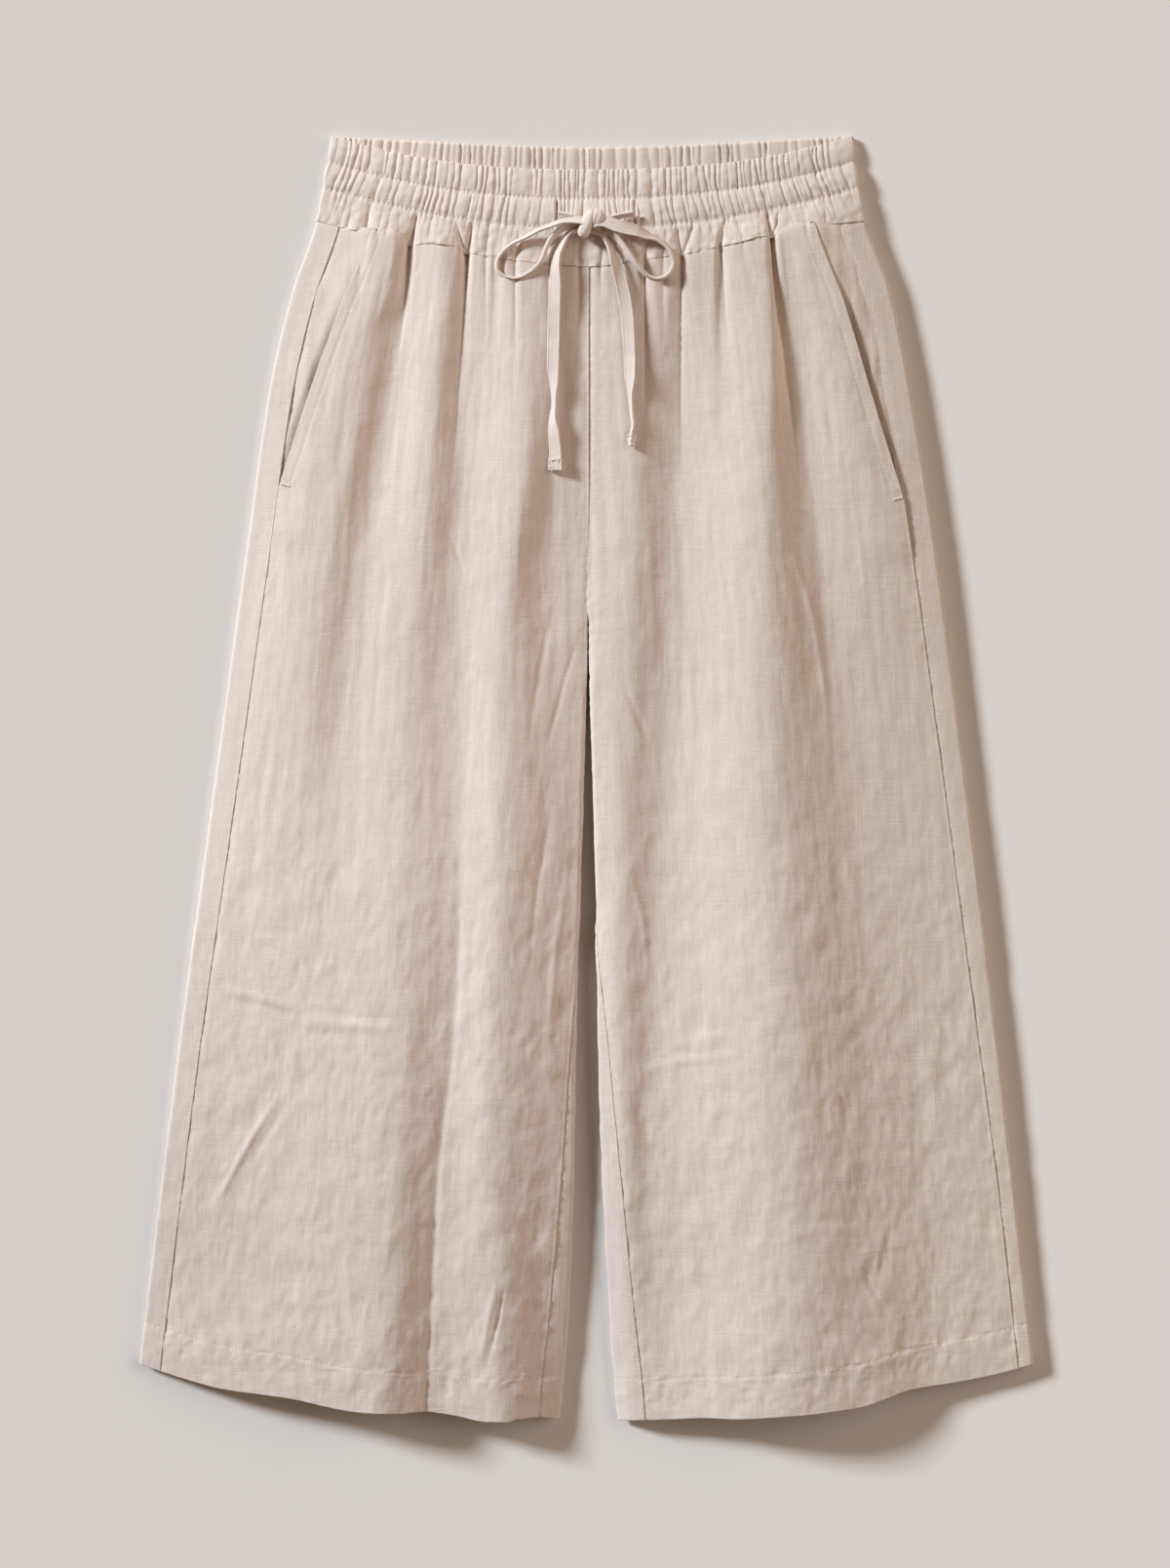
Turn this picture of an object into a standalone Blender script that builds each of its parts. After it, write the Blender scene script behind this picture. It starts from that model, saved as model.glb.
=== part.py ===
"""Drawstring bermuda shorts in linen, laid flat on their back: wide legs, slant pockets, a gathered
waistband with two channels and a flat tape tied in a bow.

Blender 4.5 script. +Z is up, the waist points to +Y and the wearer's right leg lies at -X. The shorts rest on
z = 0, centred on the origin. Sizes are in millimetres and become metres where a mesh is made.

Every surface here is the outer skin of the cloth, and Solidify adds the wall on the inside. A place on the
garment is given by its distance from the centre line ("out") and its distance below the top corners of the
waistband ("drop").
"""

import math
from collections import namedtuple

import bmesh
import bpy
import numpy as np
from mathutils import Vector

MM = 0.001

# Driving sizes, in millimetres.
LENGTH = 822.0
CENTRE_X = 2.0
CLOTH = 1.2
BAND_CLOTH = 2.0
# Gaps at seams, on the skin: where two walls turn towards each other it takes more to leave 0.3 between them.
SEAM_GAP, INSEAM_GAP, WAIST_GAP = 0.3, 0.55, 0.7
TAPE_WIDTH = 8.0
TAPE_THICK = 1.2

# The waistband: how far its top edge and its lower seam lie below the top corners.
BAND_SEAM_SIDE = 55.0
BAND_TOP_FRONT, BAND_SEAM_FRONT = 21.6, 84.4
BAND_TOP_BACK, BAND_SEAM_BACK = 7.2, 62.5
HEM_SIDE, HEM_INNER = 786.0, LENGTH
# How sharply a level line curves up towards the side: top edges, waist seams and hem.
TOP_FRONT_BEND, TOP_BACK_BEND, WAIST_BEND, HEM_BEND = 2.5, 1.4, 1.6, 2.4

SLIT_START, CROTCH = 307.0, 375.0
INNER_ROUND = 5.0
OUTER_ROUND = 0.65
WRAP = 12.0
FLAT_INNER_EDGE = 0.02

SIGN = {"right": -1, "left": 1}

# Distance from x = 0 to the outer fold of each leg.
Outline = namedtuple("Outline", "drop right left")
OUTLINE = [
    Outline(0, 162.0, 170.0),
    Outline(22, 166.0, 172.5),
    Outline(55, 172.5, 179.0),
    Outline(100, 188.0, 195.0),
    Outline(162, 202.5, 207.5),
    Outline(256, 216.0, 222.5),
    Outline(412, 237.5, 243.0),
    Outline(600, 263.0, 265.5),
    Outline(786, 286.0, 286.0),
]

# Half of the gap between the legs, from the centre line to each inner edge.
InnerEdge = namedtuple("InnerEdge", "drop right left")
INNER_EDGES = [
    InnerEdge(SLIT_START, FLAT_INNER_EDGE, FLAT_INNER_EDGE),
    InnerEdge(320, 0.5, 0.4),
    InnerEdge(387, 2.4, 1.3),
    InnerEdge(487, 5.6, 4.3),
    InnerEdge(587, 8.2, 5.6),
    InnerEdge(662, 9.5, 8.0),
    InnerEdge(762, 13.2, 13.0),
    InnerEdge(822, 18.2, 18.0),
]

# How far the seams lie in from the folds, on the upper face.
SeamInset = namedtuple("SeamInset", "drop side_right side_left inseam_right inseam_left")
SEAM_INSETS = [
    SeamInset(55, 14.5, 15.5, 0.0, 0.0),
    SeamInset(256, 15.0, 15.0, 0.0, 0.0),
    SeamInset(500, 14.0, 13.0, 0.0, 0.0),
    SeamInset(587, 13.5, 11.5, 4.0, 7.0),
    SeamInset(700, 13.5, 9.5, 10.0, 14.0),
    SeamInset(790, 13.5, 9.5, 14.5, 18.0),
]

# Heights of the upper face: at the outer folds, at the inner edge, and the crown added between them.
Height = namedtuple("Height", "drop fold_right fold_left inner crown_right crown_left")
HEIGHTS = [
    Height(55, 8.5, 8.5, 11.0, 2.5, 2.5),
    Height(100, 8.5, 9.0, 10.8, 4.0, 4.5),
    Height(200, 9.0, 10.0, 10.0, 7.0, 8.0),
    Height(310, 9.0, 10.0, 10.0, 8.0, 9.0),
    Height(450, 9.0, 10.5, 10.0, 9.0, 11.0),
    Height(600, 9.0, 11.0, 10.0, 11.0, 13.5),
    Height(700, 8.0, 11.0, 10.5, 13.0, 16.0),
    Height(822, 4.5, 11.0, 11.0, 17.0, 20.0),
]
CROWN_POWER = 2.4
FOLD_ONSET = 20.0

# The largest folds: valleys that run down from the waist seam, by three stations along each.
Fold = namedtuple("Fold", "drops places depths widths")
FOLDS = [
    Fold((62, 200, 370), (-112, -137, -152), (3.0, 5.0, 0.0), (5, 9, 16)),
    Fold((70, 210, 340), (-75, -82, -90), (3.0, 4.5, 0.0), (5, 8, 13)),
    Fold((84, 237, 390), (-20, -22, -31), (1.5, 3.5, 0.0), (5, 7, 9)),
    Fold((380, 600, 822), (-99, -100, -101), (0.0, 5.0, 8.0), (14, 15, 17)),
    Fold((80, 237, 400), (61, 59, 50), (2.5, 4.5, 0.0), (5, 9, 14)),
    Fold((62, 350, 822), (121, 163, 212), (4.0, 6.0, 7.0), (5, 13, 20)),
]

# The slant pockets: the mouth runs from the waist seam out to the side seam.
Pocket = namedtuple("Pocket", "offset end_drop")
POCKETS = {"right": Pocket(20.5, 225.0), "left": Pocket(17.0, 234.0)}
MOUTH_BEND = 1.6
POCKET_UNDERLAP = 12.0
POCKET_TAIL = 10.0
LIFT_MARGIN = 14.0
POCKET_LIFT = CLOTH + SEAM_GAP
LIFT_FADE_OUT, LIFT_FADE_DOWN = 18.0, 22.0

# The waistband's gathers and channels: stitch lines as shares of its height.
STITCH_LINES = (0.3, 0.6)
BAND_GATHERS = 42
BAND_GATHER_DEPTH = 1.1
BAND_PUFF = 1.2
BAND_FRONT_HEIGHT = 12.5
BAND_FOLD_HEIGHT = 8.5

# The slits that the tape comes out of, in the front of the lower channel.
SLIT_PLACES = (-18.0, 30.6)
SLIT_DROP, SLIT_WIDTH, SLIT_LENGTH = 50.5, 2.4, 15.0

# How many faces each kind of panel has across, and the rows that all of them share.
FRONT_COLUMNS, FACING_COLUMNS = 17, 3
BACK_COLUMNS_ROUND_FOLD, BACK_COLUMNS_ON_FLOOR, BACK_COLUMNS_INNER = 6, 2, 3
NEAR_SEAM = np.array([0.0, 0.5, 2.0, 4.5, 8.0])
LEG_ROWS = np.linspace(0, 1, 22) ** 1.2
RING_STEPS = 160

# The bow: places and heights of the tape's middle. Roll is 0 where it lies face up and 90 on its edge.
KNOT_PLACE = (3.0, 58.0, 18.0)
KNOT_SIZE = (7.0, 7.5, 4.8)
Route = namedtuple("Route", "x drop z roll")
ROUTES = {
    "tape_stub_right": [
        Route(-17.6, 50.5, 14.0, 12),
        Route(-10.0, 53.0, 15.4, 16),
        Route(0.0, 57.0, 15.6, 25),
    ],
    "tape_stub_left": [
        Route(30.2, 50.5, 14.0, -12),
        Route(20.0, 53.0, 15.4, -16),
        Route(6.0, 57.0, 15.6, -25),
    ],
    "tape_loop_right": [
        Route(0.0, 57.0, 20.6, 20),
        Route(-17.5, 57.3, 21.4, 25),
        Route(-31.0, 61.0, 20.8, 30),
        Route(-44.5, 67.3, 20.0, 50),
        Route(-54.0, 74.7, 19.4, 78),
        Route(-57.3, 83.0, 19.2, 90),
        Route(-53.3, 90.0, 19.2, 90),
        Route(-45.8, 92.4, 19.2, 90),
        Route(-35.0, 89.4, 19.4, 84),
        Route(-28.9, 83.0, 19.6, 76),
        Route(-24.5, 74.0, 19.0, 72),
        Route(-19.5, 66.5, 18.2, 60),
        Route(-12.5, 60.4, 17.4, 42),
        Route(-3.0, 57.4, 17.2, 28),
    ],
    "tape_loop_left": [
        Route(6.0, 57.0, 20.6, -20),
        Route(19.3, 56.6, 21.4, -20),
        Route(27.4, 58.2, 21.2, -20),
        Route(39.6, 62.6, 20.4, -30),
        Route(47.7, 68.0, 19.8, -50),
        Route(53.8, 75.8, 19.4, -76),
        Route(56.5, 82.5, 19.2, -90),
        Route(53.0, 88.8, 19.2, -90),
        Route(46.3, 91.7, 19.2, -86),
        Route(38.9, 89.0, 19.4, -70),
        Route(31.4, 82.0, 19.6, -60),
        Route(25.3, 74.4, 19.2, -58),
        Route(19.8, 67.0, 18.2, -55),
        Route(14.0, 61.0, 17.2, -45),
        Route(7.0, 57.5, 16.6, -38),
    ],
    "tape_tail_right": [
        Route(0.0, 61.5, 16.6, 78),
        Route(-8.0, 64.8, 16.8, 80),
        Route(-13.5, 69.4, 17.2, 78),
        Route(-16.6, 76.0, 17.8, 50),
        Route(-17.8, 87.0, 18.4, 16),
        Route(-19.0, 106.0, 18.2, 8),
        Route(-19.8, 126.6, 17.2, 8),
        Route(-20.8, 147.0, 16.2, 16),
        Route(-20.3, 162.0, 15.6, 45),
        Route(-20.3, 175.0, 15.6, 72),
        Route(-20.8, 186.0, 15.2, 45),
        Route(-20.3, 197.0, 14.2, 18),
        Route(-19.8, 214.0, 13.2, 8),
    ],
    "tape_tail_left": [
        Route(5.0, 61.5, 16.6, -78),
        Route(10.0, 66.6, 16.8, -76),
        Route(13.4, 71.5, 17.2, -60),
        Route(16.0, 78.0, 17.8, -36),
        Route(18.4, 86.6, 18.6, -18),
        Route(21.4, 99.5, 19.2, -10),
        Route(24.8, 117.0, 19.2, -12),
        Route(26.9, 133.4, 18.6, -18),
        Route(28.2, 147.0, 18.4, -28),
        Route(28.8, 160.5, 18.4, -45),
        Route(28.6, 174.0, 18.7, -64),
        Route(29.2, 187.5, 18.8, -72),
        Route(28.8, 200.0, 18.4, -56),
    ],
}
TAPE_STEP = 6.0
KNOT_CLEARANCE = 0.5

# name, colour, roughness
FINISHES = {
    "linen": ((0.738, 0.626, 0.568, 1.0), 0.9),
    "tape": ((0.762, 0.648, 0.586, 1.0), 0.85),
}


def start_scene():
    """Empties the scene and returns the garment's collection and the one for its cutters."""
    for thing in list(bpy.data.objects):
        bpy.data.objects.remove(thing)
    collections = []
    for name in ("drawstring_bermuda_shorts", "cutters"):
        collection = bpy.data.collections.new(name)
        bpy.context.scene.collection.children.link(collection)
        collections.append(collection)
    return collections


def make_material(name):
    colour, roughness = FINISHES[name]
    material = bpy.data.materials.new(name)
    material.use_nodes = True
    shader = material.node_tree.nodes["Principled BSDF"]
    shader.inputs["Base Color"].default_value = colour
    shader.inputs["Roughness"].default_value = roughness
    shader.inputs["Metallic"].default_value = 0.0
    return material


def smooth(xs, ys, at):
    """The smooth curve without overshoot through the points (xs, ys), read at the places in `at`."""
    xs, ys, at = (np.asarray(values, float) for values in (xs, ys, at))
    step = np.diff(xs)
    slope = np.diff(ys) / step
    tangent = np.zeros_like(ys)
    tangent[0], tangent[-1] = slope[0], slope[-1]
    before, after = slope[:-1], slope[1:]
    turning = before * after <= 0
    tangent[1:-1] = np.where(turning, 0.0, 2 * before * after / np.where(turning, 1.0, before + after))
    k = np.clip(np.searchsorted(xs, at) - 1, 0, len(step) - 1)
    t = np.clip((at - xs[k]) / step[k], 0.0, 1.0)
    start = (1 + 2 * t) * (1 - t) ** 2 * ys[k] + t * (1 - t) ** 2 * step[k] * tangent[k]
    end = t**2 * (3 - 2 * t) * ys[k + 1] - t**2 * (1 - t) * step[k] * tangent[k + 1]
    return start + end


def read(rows, column, drop):
    """One column of a table, at any drop."""
    return smooth([row.drop for row in rows], [getattr(row, column) for row in rows], drop)


def ease(t):
    """0 below 0, 1 above 1, and a smooth step between."""
    t = np.clip(t, 0.0, 1.0)
    return t * t * (3 - 2 * t)


def outer_edge(side, drop):
    """From the centre line out to the leg's outer fold."""
    return read(OUTLINE, side, drop) - SIGN[side] * CENTRE_X


def crotch_share(drop):
    """0 above the slit between the legs, 1 below the crotch, where each leg is a tube of its own."""
    return np.clip((drop - SLIT_START) / (CROTCH - SLIT_START), 0.0, 1.0) ** 2


def fold_depth(x, drop):
    """How far the large folds sink the upper face."""
    depth = np.zeros_like(x)
    for fold in FOLDS:
        place = smooth(fold.drops, fold.places, drop)
        width = smooth(fold.drops, fold.widths, drop)
        size = smooth(fold.drops, fold.depths, drop)
        size = size * ease((drop - fold.drops[0] + FOLD_ONSET) / FOLD_ONSET)
        depth += size * np.exp(-(((x - place) / width) ** 2))
    return depth


def upper_height(side, out, drop, inner, outer):
    """Height of the upper face away from the folded edges."""
    share = np.clip((out - inner) / (outer - inner), 0.0, 1.0)
    ends = read(HEIGHTS, "inner", drop) * (1 - share) + read(HEIGHTS, f"fold_{side}", drop) * share
    crown = read(HEIGHTS, f"crown_{side}", drop) * (1 - np.abs(2 * share - 1) ** CROWN_POWER)
    return ends + crown - fold_depth(CENTRE_X + SIGN[side] * out, drop)


def round_off(distance, radius):
    """A quarter of an ellipse: 0 at an edge, 1 from `radius` inwards."""
    return np.sqrt(1 - (1 - np.clip(distance / radius, 0.0, 1.0)) ** 2)


def leg_ring(side, v):
    """The leg's skin at row v, 0 at the waist seam and 1 at the hem.

    It starts at the inner edge, runs out over the upper face, round the outer fold and back along the floor.
    Returns the points (x, drop, z), the distance along them, and `out` of each.
    """
    drop_outer = BAND_SEAM_SIDE + (HEM_SIDE - BAND_SEAM_SIDE) * v
    drop_inner = BAND_SEAM_FRONT + (HEM_INNER - BAND_SEAM_FRONT) * v
    crotch_row = (CROTCH - BAND_SEAM_FRONT) / (HEM_INNER - BAND_SEAM_FRONT)
    back_rise = (BAND_SEAM_FRONT - BAND_SEAM_BACK) * (1 - ease(v / crotch_row))
    inner = float(read(INNER_EDGES, side, drop_inner))
    outer = float(outer_edge(side, drop_outer))
    bend = WAIST_BEND + (HEM_BEND - WAIST_BEND) * v

    fold_height = float(read(HEIGHTS, f"fold_{side}", drop_outer))
    outer_round = OUTER_ROUND * fold_height
    turn = np.linspace(0, math.pi / 2, RING_STEPS // 8)
    edge_in = inner + INNER_ROUND * (1 - np.cos(turn))
    edge_out = outer - outer_round * (1 - np.cos(turn[::-1]))
    middle = np.linspace(edge_in[-1], edge_out[0], RING_STEPS)[1:-1]
    out = np.concatenate([edge_in, middle, edge_out])

    share_out = (out - inner) / (outer - inner)
    level = 1 - share_out**bend
    drop_top = drop_outer + (drop_inner - drop_outer) * level
    drop_low = drop_outer + (drop_inner - back_rise - drop_outer) * level

    closed = float(crotch_share(drop_inner))
    near_in = round_off(out - inner, INNER_ROUND)
    near_out = round_off(outer - out, outer_round)
    height = upper_height(side, out, drop_top, inner, outer)
    shoulder = float(read(HEIGHTS, "inner", drop_inner))
    inner_wall = shoulder / 2
    top_edge = height * (1 - closed) + inner_wall * closed
    top = top_edge + (height - top_edge) * near_in
    top = fold_height / 2 + (top - fold_height / 2) * near_out
    low = inner_wall * closed * (1 - near_in) + fold_height / 2 * (1 - near_out)

    inner_low = FLAT_INNER_EDGE + (inner - FLAT_INNER_EDGE) * closed
    out_low = outer - (outer - out) * (outer - inner_low) / (outer - inner)
    upper = np.stack([CENTRE_X + SIGN[side] * out, drop_top, top], axis=1)
    lower = np.stack([CENTRE_X + SIGN[side] * out_low, drop_low, low], axis=1)[::-1][1:]
    points = np.concatenate([upper, lower])
    out = np.concatenate([out, out[::-1][1:]])
    along = np.concatenate([[0], np.cumsum(np.linalg.norm(np.diff(points[:, [0, 2]], axis=0), axis=1))])
    return points, along, out, len(upper)


def on_ring(ring, at):
    """Points of a ring at distances along it, which may run past its end into its start."""
    points, along, _, _ = ring
    twice = np.concatenate([along, along[-1] + along[1:]])
    doubled = np.concatenate([points, points[1:]])
    return np.stack([np.interp(at, twice, doubled[:, k]) for k in range(3)], axis=1)


def distance_to(ring, out):
    """Distance along the upper face to the place that is `out` from the centre line."""
    _, along, outs, upper = ring
    return float(np.interp(out, outs[:upper], along[:upper]))


def seam_distances(side, ring):
    """Distances along a ring to the inseam (or the centre seam) and to the side seam."""
    points, _, outs, upper = ring
    drop_inner, drop_outer = points[0, 1], points[upper - 1, 1]
    inseam = float(read(SEAM_INSETS, f"inseam_{side}", drop_inner))
    side_inset = float(read(SEAM_INSETS, f"side_{side}", drop_outer))
    return distance_to(ring, outs[0] + inseam), distance_to(ring, outs[upper - 1] - side_inset)


def mouth_offset(side, drop):
    """How far the pocket's mouth lies in from the side seam: 0 below the pocket."""
    pocket = POCKETS[side]
    share = (drop - BAND_SEAM_SIDE) / (pocket.end_drop - BAND_SEAM_SIDE)
    return pocket.offset * (1 - np.clip(share, 0.0, 1.0) ** MOUTH_BEND)


def pocket_lift(side, points, seam_x):
    """How far the front panel is raised over the pocket's facing."""
    away = np.abs(points[:, 0] - seam_x)
    offset = mouth_offset(side, points[:, 1])
    sideways = 1 - ease((away - offset - POCKET_UNDERLAP - 3) / LIFT_FADE_OUT)
    down = 1 - ease((points[:, 1] - POCKETS[side].end_drop - POCKET_TAIL - LIFT_MARGIN) / LIFT_FADE_DOWN)
    return POCKET_LIFT * sideways * down


def front_panel(side):
    """A leg's front: from the centre seam or the inseam to the pocket's mouth or the side seam."""
    rows = []
    for v in LEG_ROWS:
        ring = leg_ring(side, v)
        inseam, side_seam = seam_distances(side, ring)
        seam_point = on_ring(ring, [side_seam])[0]
        start = inseam + INSEAM_GAP / 2
        end = side_seam - float(mouth_offset(side, seam_point[1])) - SEAM_GAP / 2
        evenly = np.linspace(start + NEAR_SEAM[-1], end, FRONT_COLUMNS + 1)
        points = on_ring(ring, np.concatenate([start + NEAR_SEAM[:-1], evenly]))
        points[:, 2] += pocket_lift(side, points, seam_point[0])
        if v == 0:
            points[:, 1] += WAIST_GAP / 2
        rows.append(points)
    return np.array(rows)


def back_panel(side):
    """A leg's back: from the side seam round the outer fold, along the floor and round the inner edge."""
    rows = []
    for v in LEG_ROWS:
        ring = leg_ring(side, v)
        inseam, side_seam = seam_distances(side, ring)
        start, end = side_seam + SEAM_GAP / 2, ring[1][-1] + inseam - INSEAM_GAP / 2
        past_fold = ring[1][ring[3] - 1] + WRAP
        near_inner = ring[1][-1] - WRAP
        stretches = [
            np.linspace(start, past_fold, BACK_COLUMNS_ROUND_FOLD + 1)[:-1],
            np.linspace(past_fold, near_inner, BACK_COLUMNS_ON_FLOOR + 1)[:-1],
            np.linspace(near_inner, end - NEAR_SEAM[-1], BACK_COLUMNS_INNER + 1),
            end - NEAR_SEAM[-2::-1],
        ]
        points = on_ring(ring, np.concatenate(stretches))
        if v == 0:
            points[:, 1] += WAIST_GAP / 2
        rows.append(points)
    return np.array(rows)


def pocket_facing(side):
    """The hip piece behind a pocket's mouth, from the side seam to under the front panel."""
    last_row = (POCKETS[side].end_drop + POCKET_TAIL - BAND_SEAM_SIDE) / (HEM_SIDE - BAND_SEAM_SIDE)
    rows = []
    for v in LEG_ROWS[LEG_ROWS < last_row]:
        ring = leg_ring(side, v)
        _, side_seam = seam_distances(side, ring)
        seam_drop = on_ring(ring, [side_seam])[0, 1]
        under = side_seam - float(mouth_offset(side, seam_drop)) - POCKET_UNDERLAP
        points = on_ring(ring, np.linspace(under, side_seam - SEAM_GAP / 2, FACING_COLUMNS + 1))
        if v == 0:
            points[:, 1] += WAIST_GAP / 2
        rows.append(points)
    return np.array(rows)


def band_puff(w):
    """How far the waistband bulges between its stitch lines at the share w of its height."""
    lines = (0.0, *STITCH_LINES)
    puff = 0.0
    for low, high in zip(lines, lines[1:]):
        if low < w < high:
            puff = math.sin(math.pi * (w - low) / (high - low))
    return BAND_PUFF * puff


def band_half(side, w, front):
    """One layer of one half of the waistband's skin, from the centre line out to the side fold."""
    drop_side = BAND_SEAM_SIDE * w
    if front:
        drop_middle = BAND_TOP_FRONT + (BAND_SEAM_FRONT - BAND_TOP_FRONT) * w
        bend = TOP_FRONT_BEND + (WAIST_BEND - TOP_FRONT_BEND) * w
    else:
        drop_middle = BAND_TOP_BACK + (BAND_SEAM_BACK - BAND_TOP_BACK) * w
        bend = TOP_BACK_BEND + (WAIST_BEND - TOP_BACK_BEND) * w
    outer = float(outer_edge(side, drop_side))
    rounding = OUTER_ROUND * BAND_FOLD_HEIGHT
    turn = np.linspace(math.pi / 2, 0, 8)
    edge = outer - rounding * (1 - np.cos(turn))
    out = np.concatenate([np.linspace(0, edge[0], RING_STEPS // 2)[:-1], edge])
    drop = drop_side + (drop_middle - drop_side) * (1 - (out / outer) ** bend)
    near_out = round_off(outer - out, rounding)
    half_fold = BAND_FOLD_HEIGHT / 2
    if front:
        seam = upper_height(side, out, drop, 0.0, outer)
        level = BAND_FRONT_HEIGHT + (BAND_FOLD_HEIGHT - BAND_FRONT_HEIGHT) * (out / outer) ** 2
        height = level + (seam - level) * ease((w - STITCH_LINES[1]) / (1 - STITCH_LINES[1]))
        z = half_fold + (height + band_puff(w) - half_fold) * near_out
    else:
        z = half_fold * (1 - near_out)
    return np.stack([CENTRE_X + SIGN[side] * out, drop, z], axis=1)


def band_row(w):
    """A level line round the whole waistband: from the centre back, over the front and back again."""
    pieces = [
        band_half("right", w, front=False),
        band_half("right", w, front=True)[::-1][1:],
        band_half("left", w, front=True)[1:],
        band_half("left", w, front=False)[::-1][1:],
    ]
    return np.concatenate(pieces)


def waistband():
    """The gathered waistband, one strip whose ends meet at the centre back."""
    columns = 2 * BAND_GATHERS
    heights = (0.0, 0.15, STITCH_LINES[0], 0.45, STITCH_LINES[1], 1.0)
    rows = []
    for w in heights:
        line = band_row(w)
        along = np.concatenate([[0], np.cumsum(np.linalg.norm(np.diff(line[:, [0, 2]], axis=0), axis=1))])
        ends = SEAM_GAP / 2
        at = np.linspace(ends, along[-1] - ends, columns + 1)
        points = np.stack([np.interp(at, along, line[:, k]) for k in range(3)], axis=1)
        depth = BAND_GATHER_DEPTH * (np.arange(columns + 1) % 2)
        depth = depth * (1 - ease((w - STITCH_LINES[1]) / (1 - STITCH_LINES[1])))
        facing_up = points[:, 2] > BAND_FOLD_HEIGHT / 2
        points[:, 2] += np.where(facing_up, -depth, depth)
        if w == 1.0:
            points[:, 1] -= WAIST_GAP / 2
        rows.append(points)
    return np.array(rows)


def to_world(points):
    """Points (x, drop, z) in millimetres as (x, y, z) in metres."""
    return np.stack([points[..., 0], LENGTH / 2 - points[..., 1], points[..., 2]], axis=-1) * MM


def skin(name, points, material, collection, flip=False):
    """A grid whose vertices are moved to an array of points, rows by columns."""
    rows, columns = points.shape[:2]
    placed = to_world(points)
    mesh = bpy.data.meshes.new(name)
    grid = bmesh.new()
    bmesh.ops.create_grid(grid, x_segments=columns - 1, y_segments=rows - 1, size=1)
    for vertex in grid.verts:
        column = round((vertex.co.x + 1) / 2 * (columns - 1))
        row = round((1 - vertex.co.y) / 2 * (rows - 1))
        vertex.co = Vector(placed[row, column])
    if flip:
        bmesh.ops.reverse_faces(grid, faces=grid.faces)
    grid.to_mesh(mesh)
    grid.free()
    mesh.materials.append(material)
    thing = bpy.data.objects.new(name, mesh)
    collection.objects.link(thing)
    return thing


def thicken(thing, wall, offset=-1.0):
    """Adds the cloth's wall: on the inside of its skin, or on both sides with offset 0."""
    solidify = thing.modifiers.new("wall", "SOLIDIFY")
    solidify.thickness = wall * MM
    solidify.offset = offset
    solidify.use_even_offset = True
    return thing


def cut_slits(band, collection):
    """The two upright slits in the front of the waistband."""
    for index, place in enumerate(SLIT_PLACES):
        bpy.ops.mesh.primitive_cube_add(size=1, location=to_world(np.array([place, SLIT_DROP, 10.0])))
        cutter = bpy.context.object
        cutter.name = f"slit_cutter_{index + 1}"
        cutter.dimensions = (SLIT_WIDTH * MM, SLIT_LENGTH * MM, 8 * MM)
        cutter.hide_render = True
        cutter.display_type = "WIRE"
        for owner in list(cutter.users_collection):
            owner.objects.unlink(cutter)
        collection.objects.link(cutter)
        slit = band.modifiers.new(cutter.name, "BOOLEAN")
        slit.operation = "DIFFERENCE"
        slit.object = cutter


def tape_line(route):
    """A smooth line through a route's rows, with a point about every TAPE_STEP."""
    rows = np.array([(row.x, row.drop, row.z, row.roll) for row in route])
    along = np.concatenate([[0], np.cumsum(np.linalg.norm(np.diff(rows[:, :3], axis=0), axis=1))])
    at = np.linspace(0, along[-1], max(4, round(along[-1] / TAPE_STEP)))
    fine = np.linspace(0, along[-1], 8 * len(at))
    line = catmull_rom(along, rows, fine)
    outside = np.linalg.norm((line[:, :3] - KNOT_PLACE) / KNOT_SIZE, axis=1) > 1 + KNOT_CLEARANCE / min(KNOT_SIZE)
    kept = fine[outside]
    at = np.linspace(kept[0], kept[-1], max(4, round((kept[-1] - kept[0]) / TAPE_STEP) + 1))
    return catmull_rom(along, rows, at)


def catmull_rom(along, rows, at):
    """The smooth curve through rows of values at the distances `along`, read at `at`."""
    tangent = np.gradient(rows, along, axis=0)
    k = np.clip(np.searchsorted(along, at, side="right") - 1, 0, len(along) - 2)
    step = (along[k + 1] - along[k])[:, None]
    t = ((at - along[k]) / (along[k + 1] - along[k]))[:, None]
    start = (1 + 2 * t) * (1 - t) ** 2 * rows[k] + t * (1 - t) ** 2 * step * tangent[k]
    end = t**2 * (3 - 2 * t) * rows[k + 1] - t**2 * (1 - t) * step * tangent[k + 1]
    return start + end


def tape_edges(line):
    """The two long edges of a flat tape that follows the line and rolls about it."""
    heading = np.gradient(line[:, :3], axis=0)
    heading /= np.linalg.norm(heading, axis=1, keepdims=True)
    sideways = np.stack([heading[:, 1], -heading[:, 0], np.zeros(len(line))], axis=1)
    sideways /= np.linalg.norm(sideways, axis=1, keepdims=True)
    upwards = np.cross(heading, sideways)
    upwards *= np.sign(upwards[:, 2:3])
    roll = np.radians(line[:, 3:4])
    across = sideways * np.cos(roll) + upwards * np.sin(roll)
    half = across * TAPE_WIDTH / 2
    return np.stack([line[:, :3] - half, line[:, :3] + half], axis=1)


def make_tape(name, material, collection):
    thing = skin(name, tape_edges(tape_line(ROUTES[name])), material, collection)
    return thicken(thing, TAPE_THICK, offset=0.0)


def make_knot(material, collection):
    mesh = bpy.data.meshes.new("tape_knot")
    ball = bmesh.new()
    bmesh.ops.create_uvsphere(ball, u_segments=12, v_segments=8, radius=1)
    bmesh.ops.scale(ball, vec=Vector(KNOT_SIZE) * MM, verts=ball.verts)
    ball.to_mesh(mesh)
    ball.free()
    mesh.shade_smooth()
    mesh.materials.append(material)
    knot = bpy.data.objects.new("tape_knot", mesh)
    knot.location = to_world(np.array(KNOT_PLACE))
    collection.objects.link(knot)


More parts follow.
